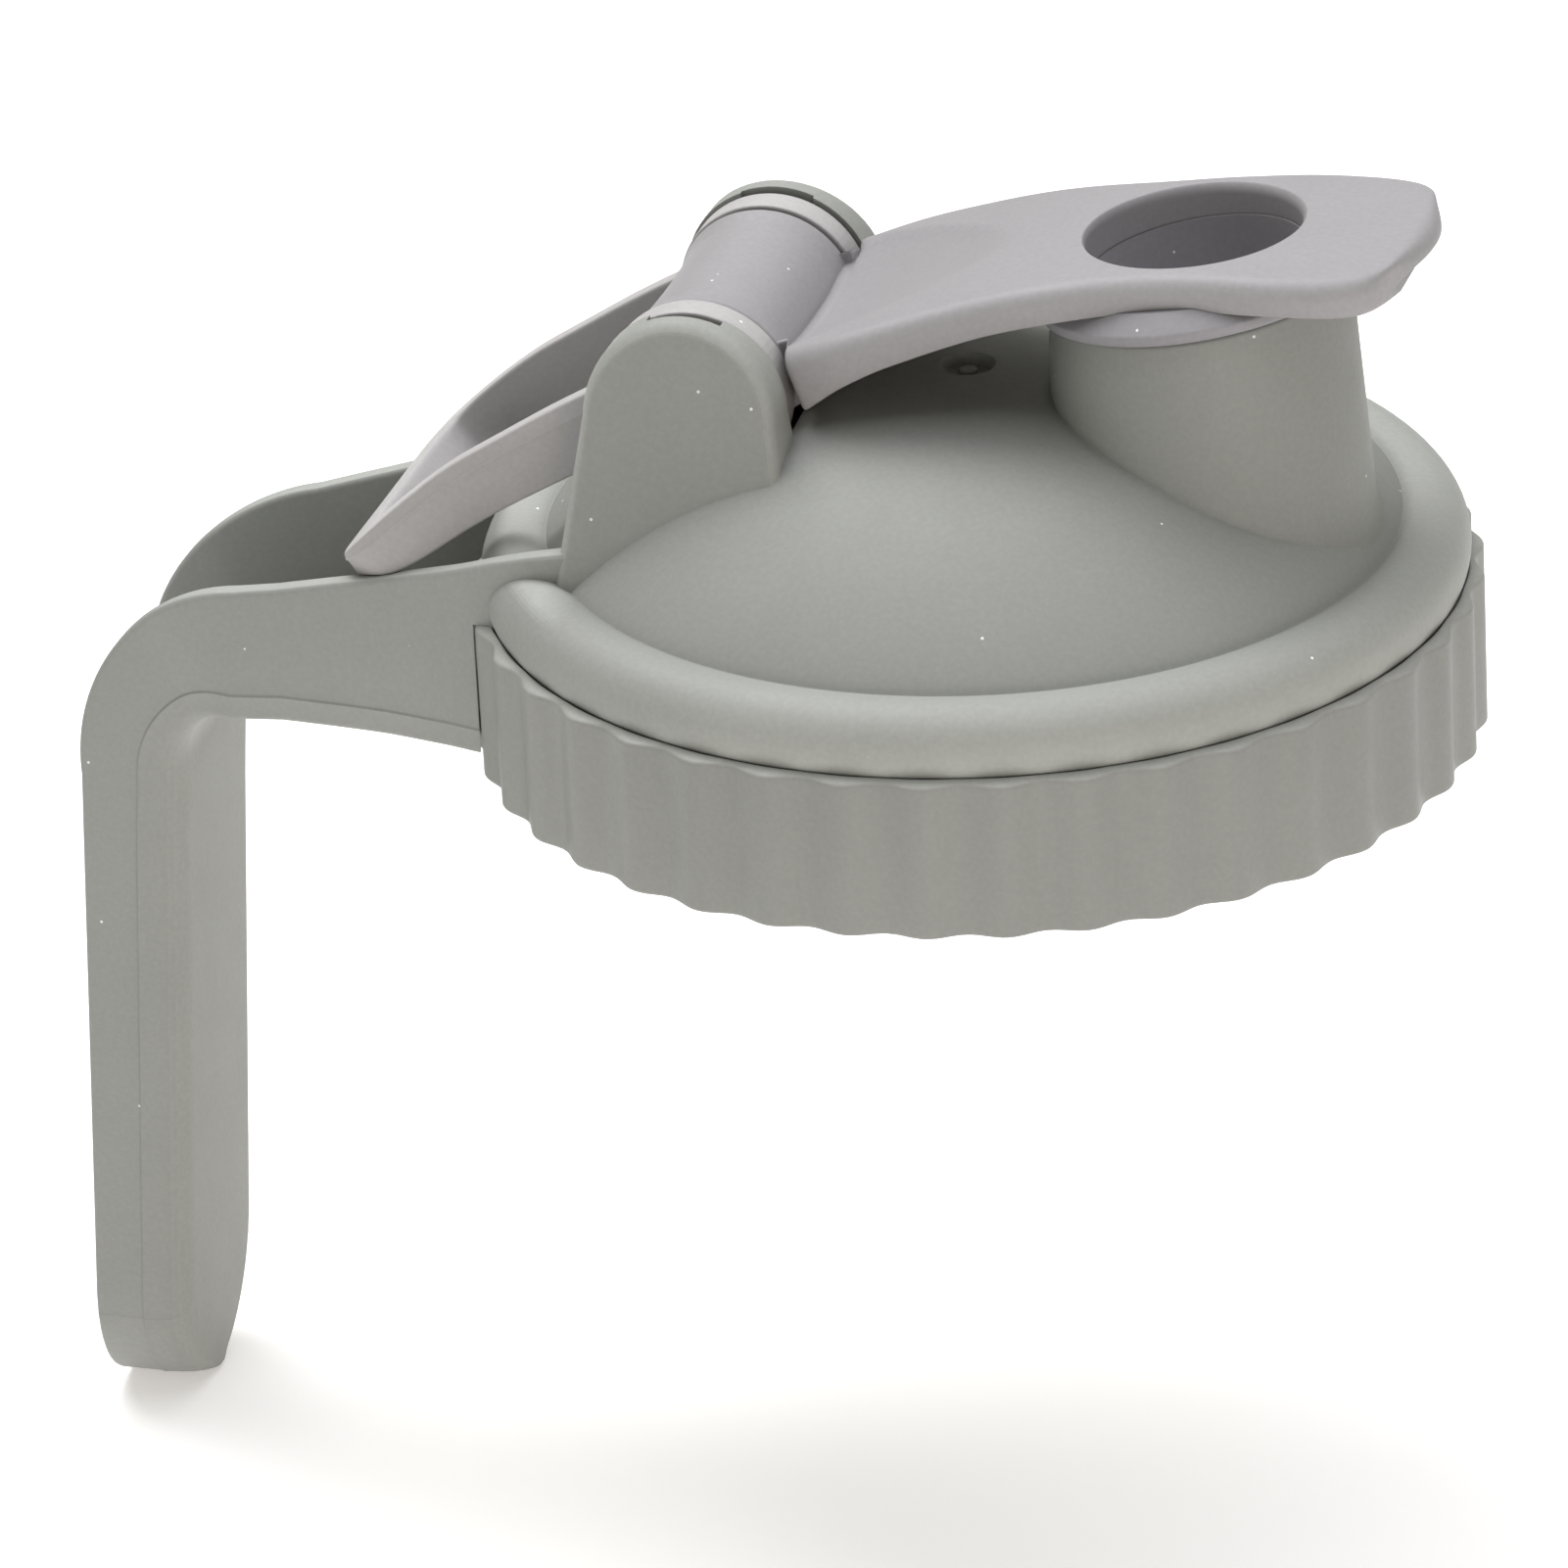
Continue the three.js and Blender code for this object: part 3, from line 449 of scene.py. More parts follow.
def bead_groove():
    top = bead.z + WALL
    return turned("groove", [
        (bead.groove_inner, bead.bottom - REST_GAP),
        (bead.groove_outer, bead.bottom - REST_GAP),
        (bead.groove_outer - bead.groove_taper, top),
        (bead.groove_inner + bead.groove_taper, top),
        (bead.groove_inner, bead.bottom - REST_GAP),
    ], FINE.bore)


def level_circle(x, z, radius, flare=0.0):
    row = []
    for column in range(FINE.spout):
        angle = 2 * math.pi * column / FINE.spout
        out = radius + flare * max(math.cos(angle), 0) ** 2
        row.append(Vector((x + out * math.cos(angle), out * math.sin(angle), z)))
    return row


def mouth_circle(distance, radius):
    """A circle square to the mouth's axis, at a distance along it from the rim."""
    lean = Matrix.Rotation(-math.atan(mouth.slope), 4, "Y")
    base = Vector((mouth.x, 0, mouth.z))
    return [lean @ point + base for point in level_circle(0, distance, radius)]


def spout_outside():
    foot = [mix(spout.base, spout.foot_height, share) for share in shares(FINE.arc)]
    upper = [mix(spout.foot_height, spout.top, share) for share in shares(FINE.arc)][1:]
    rows = []
    for height in foot + upper:
        below = mouth.z - height
        reach = clamp((spout.foot_height - height) / (spout.foot_height - spout.base))
        rows.append(level_circle(spout.centre + spout.centre_draft * below, height,
                                 spout.radius + spout.draft * below, spout.foot_flare * reach * reach))
    rim = arc(mouth.outer - mouth.round, -mouth.round, mouth.round, 0, 90)
    return lofted("spout", rows + [mouth_circle(height, radius) for radius, height in rim])


def seat_radius(depth):
    return mouth.bore - mouth.bore_taper * depth


def spout_bore():
    lip = mouth.round
    return lofted("bore", [
        mouth_circle(OVERRUN, seat_radius(0) + lip),
        mouth_circle(0, seat_radius(0) + lip),
        mouth_circle(-lip * 0.15, seat_radius(0) + lip * 0.5),
        mouth_circle(-lip * 0.5, seat_radius(0) + lip * 0.15),
        mouth_circle(-lip, seat_radius(lip)),
        mouth_circle(-mouth.seat_depth, seat_radius(mouth.seat_depth)),
        level_circle(spout.foot_x, spout.waist, spout.waist_radius),
        level_circle(spout.foot_x, spout.base, spout.foot_radius),
    ])


def ear_outline(inset):
    radius = ear.arch - inset
    foot = radius + ear.side_slope * (hinge.z - ear.base)
    arch = arc(hinge.x, hinge.z, radius, 180, 0, FINE.arc * 4)
    rise = shares(FINE.arc * 2)[:-1]
    start = [(mix(hinge.x - foot, arch[0][0], share), mix(ear.base, hinge.z, share)) for share in rise]
    end = [(2 * hinge.x - x, z) for x, z in reversed(start)]
    return start + arch + end


def ear_solid(side):
    """An ear whose outer face is drafted and whose rim is rolled over."""
    rows = [[(x, side * ear.inner, z) for x, z in ear_outline(0)]]
    for share in shares(FINE.arc):
        angle = math.radians(90 * share)
        inset = ear.round * (1 - math.cos(angle))
        back = ear.round * (1 - math.sin(angle))
        rows.append([(x, side * (ear.outer - ear.draft * (z - hinge.z) - back), z)
                     for x, z in ear_outline(inset)])
    return lofted("ear", rows)


def ear_slot(side):
    half = ear.slot_width / 2
    depth = ear.slot_depth if side < 0 else ear.far_slot_depth
    ends = sorted((side * (ear.inner + depth), side * (ear.inner - OVERRUN)))
    top = hinge.z + ear.arch + OVERRUN
    return slab("slot", [
        (hinge.x - half, hinge.z), (hinge.x + half, hinge.z), (hinge.x + half, top), (hinge.x - half, top),
    ], *ends)


def trunnion_hole():
    return rod("hole", hinge.pin + RUNNING_GAP, -hinge.hole_end, hinge.hole_end, FINE.small, on_hinge())


def handle_stations(bend_steps):
    """Jar-side point, outer point, half-width and corner radius of each section along the handle."""
    stations = []
    for share in shares(FINE.curve):
        x = mix(arm.root_x, arm.end_x, share)
        stations.append(Part(inner=(x, along(ARM_BOTTOM, x)), outer=(x, along(ARM_TOP, x)),
                             half=along(ARM_WIDTHS, x), round=grip.corner_at_arm, seam=grip.seam_at_arm))
    sweep = (corner.start, corner.end, bend_steps)
    inner_bend = arc(corner.inner_x, corner.inner_z, corner.inner_radius, *sweep)
    outer_bend = arc(corner.outer_x, corner.outer_z, corner.outer_radius, *sweep)
    for share, inner, outer in zip(shares(bend_steps), inner_bend, outer_bend):
        stations.append(Part(inner=inner, outer=outer,
                             half=along(ARM_WIDTHS, mix(inner[0], outer[0], grip.side_share)),
                             round=mix(grip.corner_at_arm, grip.corner, share),
                             seam=mix(grip.seam_at_arm, grip.seam, share)))

    def section(z):
        fall = z - grip.top
        past = max((z - grip.straight_end) / (grip.tip - grip.straight_end), 0)
        raised = grip.cross_rise if z == grip.cross_seam else 0
        return Part(inner=(grip.face_x + grip.face_slope * fall, z),
                    outer=(grip.back_x + grip.back_slope * fall, z),
                    half=grip.half * math.sqrt(1 - past ** 2) + raised, round=grip.corner, seam=grip.seam)

    heights = [mix(grip.top, grip.straight_end, share) for share in shares(FINE.arc)[1:]]
    heights += [mix(grip.straight_end, grip.tip, math.sin(math.radians(grip.tip_angle * share)))
                for share in shares(FINE.tip)[1:]]
    heights += [grip.cross_seam + step * grip.seam_half for step in (-1, 0, 1)]
    stations += [section(z) for z in sorted(heights, reverse=True)]
    return stations


def handle_row(station, inset, rim):
    """One section of the handle, solid with rolled rims, or as the channel that hollows it."""
    inner, outer = Vector(station.inner), Vector(station.outer)
    depth = (outer - inner).length
    toward = (outer - inner) / depth
    width = station.half - inset
    bend = min(max(station.round - inset, REST_GAP), width * grip.corner_share)
    near = arc(width - bend, inset + bend, bend, 0, -90)
    if inset:
        turns = [math.radians(angle) for angle in (90, 60, 30, 0)]
        flare = [(width + rim * (1 - math.cos(turn)), depth - rim * (1 - math.sin(turn))) for turn in turns]
        edge = [(width + rim, depth + OVERRUN), *flare]
    else:
        seam = station.seam
        edge = [*arc(width - rim, depth - rim, rim, 90, 0), (width, seam + grip.seam_half),
                (width + grip.seam_rise, seam), (width + grip.seam_rise / 2, seam - grip.seam_half)]
    half = edge + near
    outline = half + [(-across, up) for across, up in reversed(half)]
    return [(inner.x + toward.x * up, across, inner.y + toward.y * up) for across, up in outline]


def handle_solid():
    outside = lofted("handle", [handle_row(station, 0, grip.rim) for station in handle_stations(FINE.bend)])
    hollow = [station for station in handle_stations(FINE.bend - 1)
              if station.half > 2 * WALL and station.inner[1] != grip.cross_seam]
    first = hollow[0]
    lead = Part(
        inner=(first.inner[0] + OVERRUN, first.inner[1]), outer=(first.outer[0] + OVERRUN, first.outer[1]),
        half=first.half, round=first.round, seam=first.seam,
    )
    channel = lofted("channel", [handle_row(station, WALL, grip.rim) for station in [lead, *hollow]])
    return cut(outside, channel)


def ring_room():
    """The ring's place, which the arms are cut back from."""
    return rod("room", ring.crest + RUNNING_GAP, -OVERRUN, ring.height + RUNNING_GAP, FINE.bore)


def trough_round(radius, half):
    return rod("trough", radius, -half, half, FINE.bore, on_hinge())


def make_lid():
    ears = [cut(ear_solid(side), ear_slot(side)) for side in (-1, 1)]
    hollow = cut(cavity_solid(), trough_round(trough.wall_radius, ear.inner + WALL))
    body = cut(dome_solid(), bead_groove())
    body = join(body, spout_outside(), *ears, cut(handle_solid(), ring_room()))
    return cut(body, hollow, trough_round(trough.radius, ear.inner), spout_bore(), trunnion_hole())


# The flip lever, its stopper and the carry loop


def barrel_solid():
    half, flare = barrel.half, barrel.half - barrel.flare
    side = [
        (hinge.pin - barrel.pin_chamfer, hinge.pin_end),
        (hinge.pin, hinge.pin_end - barrel.pin_chamfer),
        (hinge.pin, eye.outer),
        (hinge.journal, eye.outer),
        (hinge.journal, half),
        (barrel.end - barrel.round, half),
        (barrel.end - barrel.round_step, half - barrel.round_step),
        (barrel.end, half - barrel.round),
    ]
    waist = []
    for share in shares(FINE.arc):
        ease = (1 - math.cos(math.pi * share)) / 2
        start = mix(barrel.end, barrel.waist, 1 - barrel.flare_share)
        radius = start if share == 0 else mix(start, barrel.waist, ease)
        waist.append((radius, mix(flare, 0, share)))
    right = side + waist
    left = [(radius, -across) for radius, across in reversed(right[:-1])]
    profile = [(0, hinge.pin_end), *right, *left, (0, -hinge.pin_end)]
    return turned("barrel", profile, FINE.small * 2, on_hinge())


def scoop(x, y):
    """Depth of the finger scoop behind the thumb hole, zero past its parabolic edge."""
    ahead = (lever.scoop_apex - x) / (lever.scoop_apex - lever.root_x)
    if ahead <= 0:
        return 0
    inside = max(min(ahead, 1) - (y / (along(LEVER_HALF, x) - lever.edge)) ** 2, 0)
    return lever.scoop_depth * inside ** lever.scoop_power


def tip_share(x):
    return clamp((x - lever.tip_start) / (lever.tip_x - lever.tip_start)) ** 2


def tip_roll(x):
    past = max(x - lever.tip_x + lever.edge, 0)
    return lever.edge - math.sqrt(max(lever.edge ** 2 - past ** 2, 0))


def lever_lean(x):
    root = clamp((lever.root_lean_end - x) / (lever.root_lean_end - lever.root_x))
    return lever.root_lean * root - lever.tip_lean * tip_share(x)


def lever_row(x, half, edge, sink=0.0, reach=0.0, shoulder=0.0):
    """One section of the lever, whose shoulder drops the top's sides outside the neck."""
    top = along(LEVER_TOP, x) - tip_roll(x) - sink
    bottom = along(LEVER_BOTTOM, x) - reach
    flat = half - edge
    across = []
    for share in shares(FINE.long):
        y = mix(-flat, flat, share)
        drop = shoulder * clamp(abs(y) - lever.neck_half)
        across.append((y, top + lever.crown * (1 - (y / flat) ** 2) - scoop(x, y) - drop))
    edge_round = arc(flat, top - shoulder - edge, edge, 90, 0)[1:]
    foot = lever.foot_round
    low = half - REST_GAP
    side = [
        *edge_round, (low + foot * 0.1, bottom + foot), (low - foot * 0.3, bottom + foot * 0.3),
        (low - foot, bottom),
    ]
    outline = across + side + [(-y, z) for y, z in reversed(side)]
    lean = lever_lean(x)
    bow = lever.tip_bow * tip_share(x)
    return [(x + lean * (top - z) - bow * (y / half) ** 2, y, z) for y, z in outline]


def lever_arm(reach=0.0):
    neck = [mix(lever.neck_start, lever.root_x - REST_GAP, share) for share in shares(FINE.arc)]
    long = [mix(lever.root_x + lever.body_start, lever.tip_start, share) for share in shares(FINE.long)]
    tip = [mix(lever.tip_start, lever.tip_x, math.sin(math.radians(90 * share)))
           for share in shares(FINE.tip)[1:]]
    rows = [lever_row(x, lever.neck_half, REST_GAP) for x in neck]
    for step, less in LEVER_ROOT:
        x = lever.root_x + step
        rows.append(lever_row(x, along(LEVER_HALF, x) - less, lever.edge, 0, reach - less, less))
    for x in long + tip:
        edge = mix(lever.edge, lever.tip_edge, tip_share(x))
        rows.append(lever_row(x, along(LEVER_HALF, x), edge, 0, reach))
    return lofted("arm", rows)


def lever_pocket():
    stations = [mix(lever.pocket_start, lever.pocket_end, share) for share in shares(FINE.curve)]
    hollow = lofted("pocket", [
        lever_row(x, along(LEVER_HALF, x) - lever.rim, REST_GAP, lever.skin, OVERRUN) for x in stations])
    low, high = LEVER_BOTTOM[0][1], thumb_hole.z
    start = lever.pocket_start - OVERRUN
    rib = slab("rib", [(start, low), (thumb_hole.x, low), (thumb_hole.x, high), (start, high)],
               -lever.rib_width / 2, lever.rib_width / 2)
    boss = rod("boss", lever.boss, -stopper.depth, stopper.depth, FINE.spout, on_lean(mouth))
    return cut(hollow, rib, boss)


def thumb_hole_cut():
    lip = thumb_hole.lip
    return turned("thumb", [
        (0, OVERRUN),
        (thumb_hole.radius + lip * 2, OVERRUN),
        (thumb_hole.radius + lip, 0),
        *arc(thumb_hole.radius + lip, -lip, lip, 90, 180, FINE.arc * 2),
        (thumb_hole.radius, -stopper.depth),
        (0, -stopper.depth),
    ], FINE.spout, on_lean(thumb_hole))


def stopper_room(top=stopper.collar_top + stopper.fit):
    """The stopper's place in the lever, up to a height over the mouth's rim."""
    low = -stopper.depth - OVERRUN
    return rod("stopper_room", stopper.collar + RUNNING_GAP, low, top, FINE.spout, on_lean(mouth))


def make_lever():
    body = cut(lever_arm(), lever_pocket())
    return cut(join(body, barrel_solid()), stopper_room(), thumb_hole_cut())


def make_stopper():
    foot = REST_GAP

    def plug(depth):
        return seat_radius(depth) - PLUG_GAP

    whole = turned("stopper", rounded([
        (0, stopper.floor - stopper.depth, 0),
        (stopper.cup_foot, stopper.floor - stopper.depth, 1.2),
        (stopper.cup, 0, 1),
        (stopper.cup_top, stopper.collar_top, 0),
        (stopper.collar, stopper.collar_top, 0.2),
        (stopper.collar, stopper.skirt_top, 0.2),
        (stopper.skirt_shoulder, stopper.skirt_top, 0.15),
        (stopper.skirt, foot + stopper.skirt_side, 0.3),
        (stopper.skirt, foot, 0.35),
        (plug(0), foot, 0.2),
        (plug(stopper.groove_top), -stopper.groove_top, 0.15),
        (stopper.groove, -stopper.groove_top, 0),
        (stopper.groove, -stopper.groove_bottom, 0),
        (plug(stopper.groove_bottom), -stopper.groove_bottom, 0.15),
        (plug(stopper.depth), -stopper.depth, stopper.foot_chamfer),
        (0, -stopper.depth, 0),
    ]), FINE.spout, on_lean(mouth))
    return cut(whole, cut(lever_arm(stopper.fit), stopper_room(lever.edge + OVERRUN)))


def eye_solid(side):
    hole = hinge.journal + RUNNING_GAP
    soft = 0.3
    profile = rounded([
        (hole, side * eye.inner, 0),
        (eye.radius, side * eye.inner, soft),
        (eye.radius, side * eye.outer, soft),
        (hole, side * eye.outer, 0),
    ], closed=True)
    return turned("eye", profile, FINE.small, on_hinge())


def loop_edges(x, across):
    """Top and bottom of the loop's band at x, for a face at a distance from the middle plane."""
    span = loop.rise_span
    rise = (along(LOOP_TOP, x + span) - along(LOOP_TOP, x - span)) / (2 * span)
    reach = along(LOOP_BAND, x) / math.hypot(rise, 1)
    top = along(LOOP_TOP, x)
    return Vector((x, across, top)), Vector((x + reach * rise, across, top - reach))


def loop_row(outer, inner, side):
    """A section of the band with rounded edges and a fine seam ridge near its outer top edge."""
    outer_top, outer_bottom = loop_edges(outer[0], side * outer[1])
    inner_top, inner_bottom = loop_edges(inner[0], side * inner[1])
    width = (outer_top - inner_top).length
    depth = (outer_top - outer_bottom).length
    soft = loop.round
    soft_foot = soft * loop.foot_share
    outline = rounded([
        (0, 0, soft), (width, 0, soft), (width, depth, soft_foot), (0, depth, soft_foot),
    ], count=loop.round_steps, closed=True)[:-1]
    seam = depth * loop.seam_share
    outline += [(0, seam + loop.seam_width), (-loop.seam, seam), (0, seam - loop.seam_width)]
    row = []
    for across, down in outline:
        u, v = across / width, down / depth
        outer_side = outer_top.lerp(outer_bottom, v)
        inner_side = inner_top.lerp(inner_bottom, v)
        row.append(outer_side + (inner_side - outer_side) * u)
    return row


def loop_path(stations, count):
    """Stations spread evenly along a smooth path through the given ones."""
    points = [Vector((x, across)) for x, across in stations]
    last = len(points) - 1
    out = []
    for share in shares(count):
        at = share * last
        index = min(int(at), last - 1)
        t = at - index
        p0, p1 = points[max(index - 1, 0)], points[index]
        p2, p3 = points[index + 1], points[min(index + 2, last)]
        if index + 2 > last:
            p3 = Vector((p1.x, -p1.y))
        out.append(0.5 * (2 * p1 + (p2 - p0) * t + (2 * p0 - 5 * p1 + 4 * p2 - p3) * t ** 2
                          + (3 * p1 - p0 - 3 * p2 + p3) * t ** 3))
    return out


def make_loop():
    count = FINE.long + FINE.long // 2
    outer, inner = loop_path(LOOP_OUTER, count), loop_path(LOOP_INNER, count)
    near = [loop_row(a, b, -1) for a, b in zip(outer, inner)]
    far = [loop_row(a, b, 1) for a, b in zip(outer, inner)][:-1]
    reach = eye.outer + OVERRUN
    shaft = rod("shaft", hinge.journal + RUNNING_GAP, -reach, reach, FINE.small, on_hinge())
    return cut(join(lofted("loop", near + far[::-1]), eye_solid(-1), eye_solid(1)), shaft)


# Materials

# The plastics' skin. Scales count features per metre, lengths are in millimetres, and each range is
# where a texture's value starts and ends its ramp. The edge highlight settings paint light onto edges,
# and the shade settings paint shade into corners and creases.
surface = Part(
    specular=0.42, drift_scale=45, drift_detail=3, drift_range=(0.35, 0.65),
    fleck_scale=1900, fleck_detail=2, fleck_range=(0.35, 0.75),
    fleck_dark=0.965, fleck_light=1.04, fleck_share=0.5,
    nick_scale=400, nick_range=(0.07, 0.045), nick_fade=0.002, nick_colour=(0.8, 0.79, 0.78),
    worn_samples=6, worn_range=(0.985, 0.75), worn_share=0.5, worn_gain=1.5,
    shade_samples=5, shade_reach=1.1, shade=0.62,
    rough_scale=240, rough_detail=4, rough_low=-0.06, rough_high=0.08,
    grain_scale=2600, grain_detail=2, grain_strength=0.5,
)


def feed(tree, socket, value):
    """Sets a socket to a value, or links it to another node's output."""
    if isinstance(value, bpy.types.NodeSocket):
        tree.links.new(value, socket)
    else:
        socket.default_value = value


def add_node(tree, kind, inputs, operation=None):
    """A new node whose inputs are fed by name or by number."""
    node = tree.nodes.new(kind)
    if operation:
        node.operation = operation
    for key, value in inputs.items():
        feed(tree, node.inputs[key], value)
    return node


def noise(tree, place, scale, detail):
    inputs = {"Vector": place, "Scale": scale, "Detail": detail}
    return add_node(tree, "ShaderNodeTexNoise", inputs).outputs["Fac"]


def ramp(tree, source, start, end):
    inputs = {"Value": source, "From Min": start, "From Max": end}
    return add_node(tree, "ShaderNodeMapRange", inputs).outputs["Result"]


def math_node(tree, operation, first, second):
    return add_node(tree, "ShaderNodeMath", {0: first, 1: second}, operation).outputs["Value"]


def scaled(tree, colour, factor):
    return add_node(tree, "ShaderNodeVectorMath", {0: colour, "Scale": factor}, "SCALE").outputs["Vector"]


def blend(tree, factor, first, second):
    """A mix of two colours, each a tuple or another node's output."""
    node = tree.nodes.new("ShaderNodeMix")
    node.data_type = "RGBA"
    feed(tree, node.inputs["Factor"], factor)
    colours = [socket for socket in node.inputs if socket.type == "RGBA"]
    for socket, value in zip(colours, (first, second)):
        feed(tree, socket, (*value, 1) if isinstance(value, tuple) else value)
    return next(socket for socket in node.outputs if socket.type == "RGBA")


def tint(colour, gain):
    return tuple(min(part * gain, 1) for part in colour)


def plastic(name, low, high, roughness, grain, nick_share=0.09, bevel=0.3, zones=()):
    """Moulded plastic: slow tint drift, fine grain and pale nicks, with a painted highlight on its edges and
    painted shade in its corners and creases.
    """
    material = bpy.data.materials.new(name)
    material.use_nodes = True
    tree = material.node_tree
    shader = tree.nodes["Principled BSDF"]
    shader.inputs["Specular IOR Level"].default_value = surface.specular
    place = tree.nodes.new("ShaderNodeTexCoord").outputs["Object"]

    drift = ramp(tree, noise(tree, place, surface.drift_scale, surface.drift_detail), *surface.drift_range)
    fleck = ramp(tree, noise(tree, place, surface.fleck_scale, surface.fleck_detail), *surface.fleck_range)
    grainy = blend(tree, fleck, tint(low, surface.fleck_dark), tint(high, surface.fleck_light))
    base = blend(tree, surface.fleck_share, blend(tree, drift, low, high), grainy)

    cells = add_node(tree, "ShaderNodeTexVoronoi", {"Scale": surface.nick_scale, "Vector": place})
    spot = ramp(tree, cells.outputs["Distance"], *surface.nick_range)
    picked = add_node(tree, "ShaderNodeSeparateColor", {"Color": cells.outputs["Color"]}).outputs["Red"]
    chosen = ramp(tree, picked, nick_share + surface.nick_fade, nick_share)
    base = blend(tree, math_node(tree, "MULTIPLY", spot, chosen), base, surface.nick_colour)

    # Painted highlight: edges, where the bevelled normal turns away from the face's own, are made lighter
    soft = add_node(tree, "ShaderNodeBevel", {"Radius": bevel * MM})
    soft.samples = surface.worn_samples
    flat = tree.nodes.new("ShaderNodeNewGeometry")
    normals = {0: soft.outputs["Normal"], 1: flat.outputs["Normal"]}
    turn = add_node(tree, "ShaderNodeVectorMath", normals, "DOT_PRODUCT").outputs["Value"]
    edge_highlight = math_node(tree, "MULTIPLY", ramp(tree, turn, *surface.worn_range), surface.worn_share)
    base = blend(tree, edge_highlight, base, tint(high, surface.worn_gain))
    # Painted light and shade, zone by zone
    if zones:
        base = with_painted_light(tree, place, base, zones)

    # Painted shade: corners and creases found by ambient occlusion are made darker
    corners = add_node(tree, "ShaderNodeAmbientOcclusion", {"Distance": surface.shade_reach * MM})
    corners.samples = surface.shade_samples
    shade = add_node(tree, "ShaderNodeMapRange", {"Value": corners.outputs["AO"], "To Min": surface.shade})
    feed(tree, shader.inputs["Base Color"], scaled(tree, base, shade.outputs["Result"]))

    rough = add_node(tree, "ShaderNodeMapRange", {
        "Value": noise(tree, place, surface.rough_scale, surface.rough_detail),
        "To Min": roughness + surface.rough_low, "To Max": roughness + surface.rough_high,
    })
    feed(tree, shader.inputs["Roughness"], rough.outputs["Result"])

    fine = add_node(tree, "ShaderNodeBump", {
        "Strength": surface.grain_strength, "Distance": grain * MM, "Normal": soft.outputs["Normal"],
        "Height": noise(tree, place, surface.grain_scale, surface.grain_detail),
    })
    feed(tree, shader.inputs["Normal"], fine.outputs["Normal"])
    return material


def with_painted_light(tree, place, base, zones):
    """Painted light and shade: the base colour made lighter, or darker for a negative gain, where all of a
    zone's ramps are open.
    """
    at = add_node(tree, "ShaderNodeSeparateXYZ", {"Vector": place}).outputs
    normal = tree.nodes.new("ShaderNodeNewGeometry").outputs["True Normal"]
    facing = add_node(tree, "ShaderNodeSeparateXYZ", {"Vector": normal}).outputs
    level = add_node(tree, "ShaderNodeCombineXYZ", {"X": at["X"], "Y": at["Y"]})
    radius = add_node(tree, "ShaderNodeVectorMath", {0: level.outputs["Vector"]}, "LENGTH")
    sources = {
        "x": at["X"], "z": at["Z"], "radius": radius.outputs["Value"], "facing_x": facing["X"],
        "facing_z": facing["Z"], "aside": math_node(tree, "ABSOLUTE", facing["Y"], 0.0),
    }
    total = 1.0
    for gain, ramps in zones:
        share = gain
        for source, start, end in ramps:
            share = math_node(tree, "MULTIPLY", ramp(tree, sources[source], start, end), share)
        total = math_node(tree, "ADD", share, total)
    return scaled(tree, base, total)


# Camera, floor and light

# Places and sizes in metres
studio = Part(
    aim=(-0.01, 0, 0), floor_gap=0.0006, floor_size=6, paper=(0.93, 0.93, 0.93, 1), paper_roughness=0.9,
    glow=(1, 0.95, 0.93, 1), glow_strength=0.37, sky=(1, 1, 0.85, 1), sky_strength=0.24,
)
LIGHTS = [
    Part(name="key", place=(-0.4, 0.25, 0.85), size=0.6, power=6.2, colour=(1, 1, 1)),
    Part(name="top", place=(0.15, 0.05, 0.95), size=1.1, power=7.3, colour=(0.95, 0.98, 1.07)),
    Part(name="back", place=(-0.1, 0.75, 0.55), size=0.6, power=0.8, colour=(1, 1, 1)),
    Part(name="front", place=(-0.2, -0.8, 0.02), size=0.35, power=0.56, colour=(0.9, 1, 1.1)),
    Part(name="low", place=(0.35, -0.6, -0.02), size=0.3, power=1.12, colour=(1.1, 1, 0.9)),
]


def make_camera():
    yaw, pitch, roll = (math.radians(a) for a in (camera_fit.yaw, camera_fit.pitch, camera_fit.roll))
    ahead = Vector((math.sin(yaw) * math.cos(pitch), math.cos(yaw) * math.cos(pitch), -math.sin(pitch)))
    level = Vector((math.cos(yaw), -math.sin(yaw), 0))
    above = level.cross(ahead)
    right = level * math.cos(roll) + above * math.sin(roll)
    up = above * math.cos(roll) - level * math.sin(roll)
    eye_at = -camera_fit.across * right - camera_fit.up * up - camera_fit.distance * ahead
    data = bpy.data.cameras.new("camera")
    data.sensor_width = camera_fit.sensor
    data.lens = camera_fit.focal / PHOTO_WIDTH * data.sensor_width
    data.clip_start = camera_fit.clip_start
    data.clip_end = camera_fit.clip_end
    camera = bpy.data.objects.new("camera", data)
    turn = Matrix((right, up, -ahead)).transposed().to_4x4()
    camera.matrix_world = Matrix.Translation(eye_at * MM) @ turn
    bpy.context.scene.collection.objects.link(camera)
    bpy.context.scene.camera = camera


def area_light(lamp):
    data = bpy.data.lights.new(lamp.name, "AREA")
    data.size = lamp.size
    data.energy = lamp.power
    data.color = lamp.colour
    light = bpy.data.objects.new(lamp.name, data)
    light.location = lamp.place
    toward = Vector(studio.aim) - Vector(lamp.place)
    light.rotation_euler = toward.to_track_quat("-Z", "Y").to_euler()
    bpy.context.scene.collection.objects.link(light)


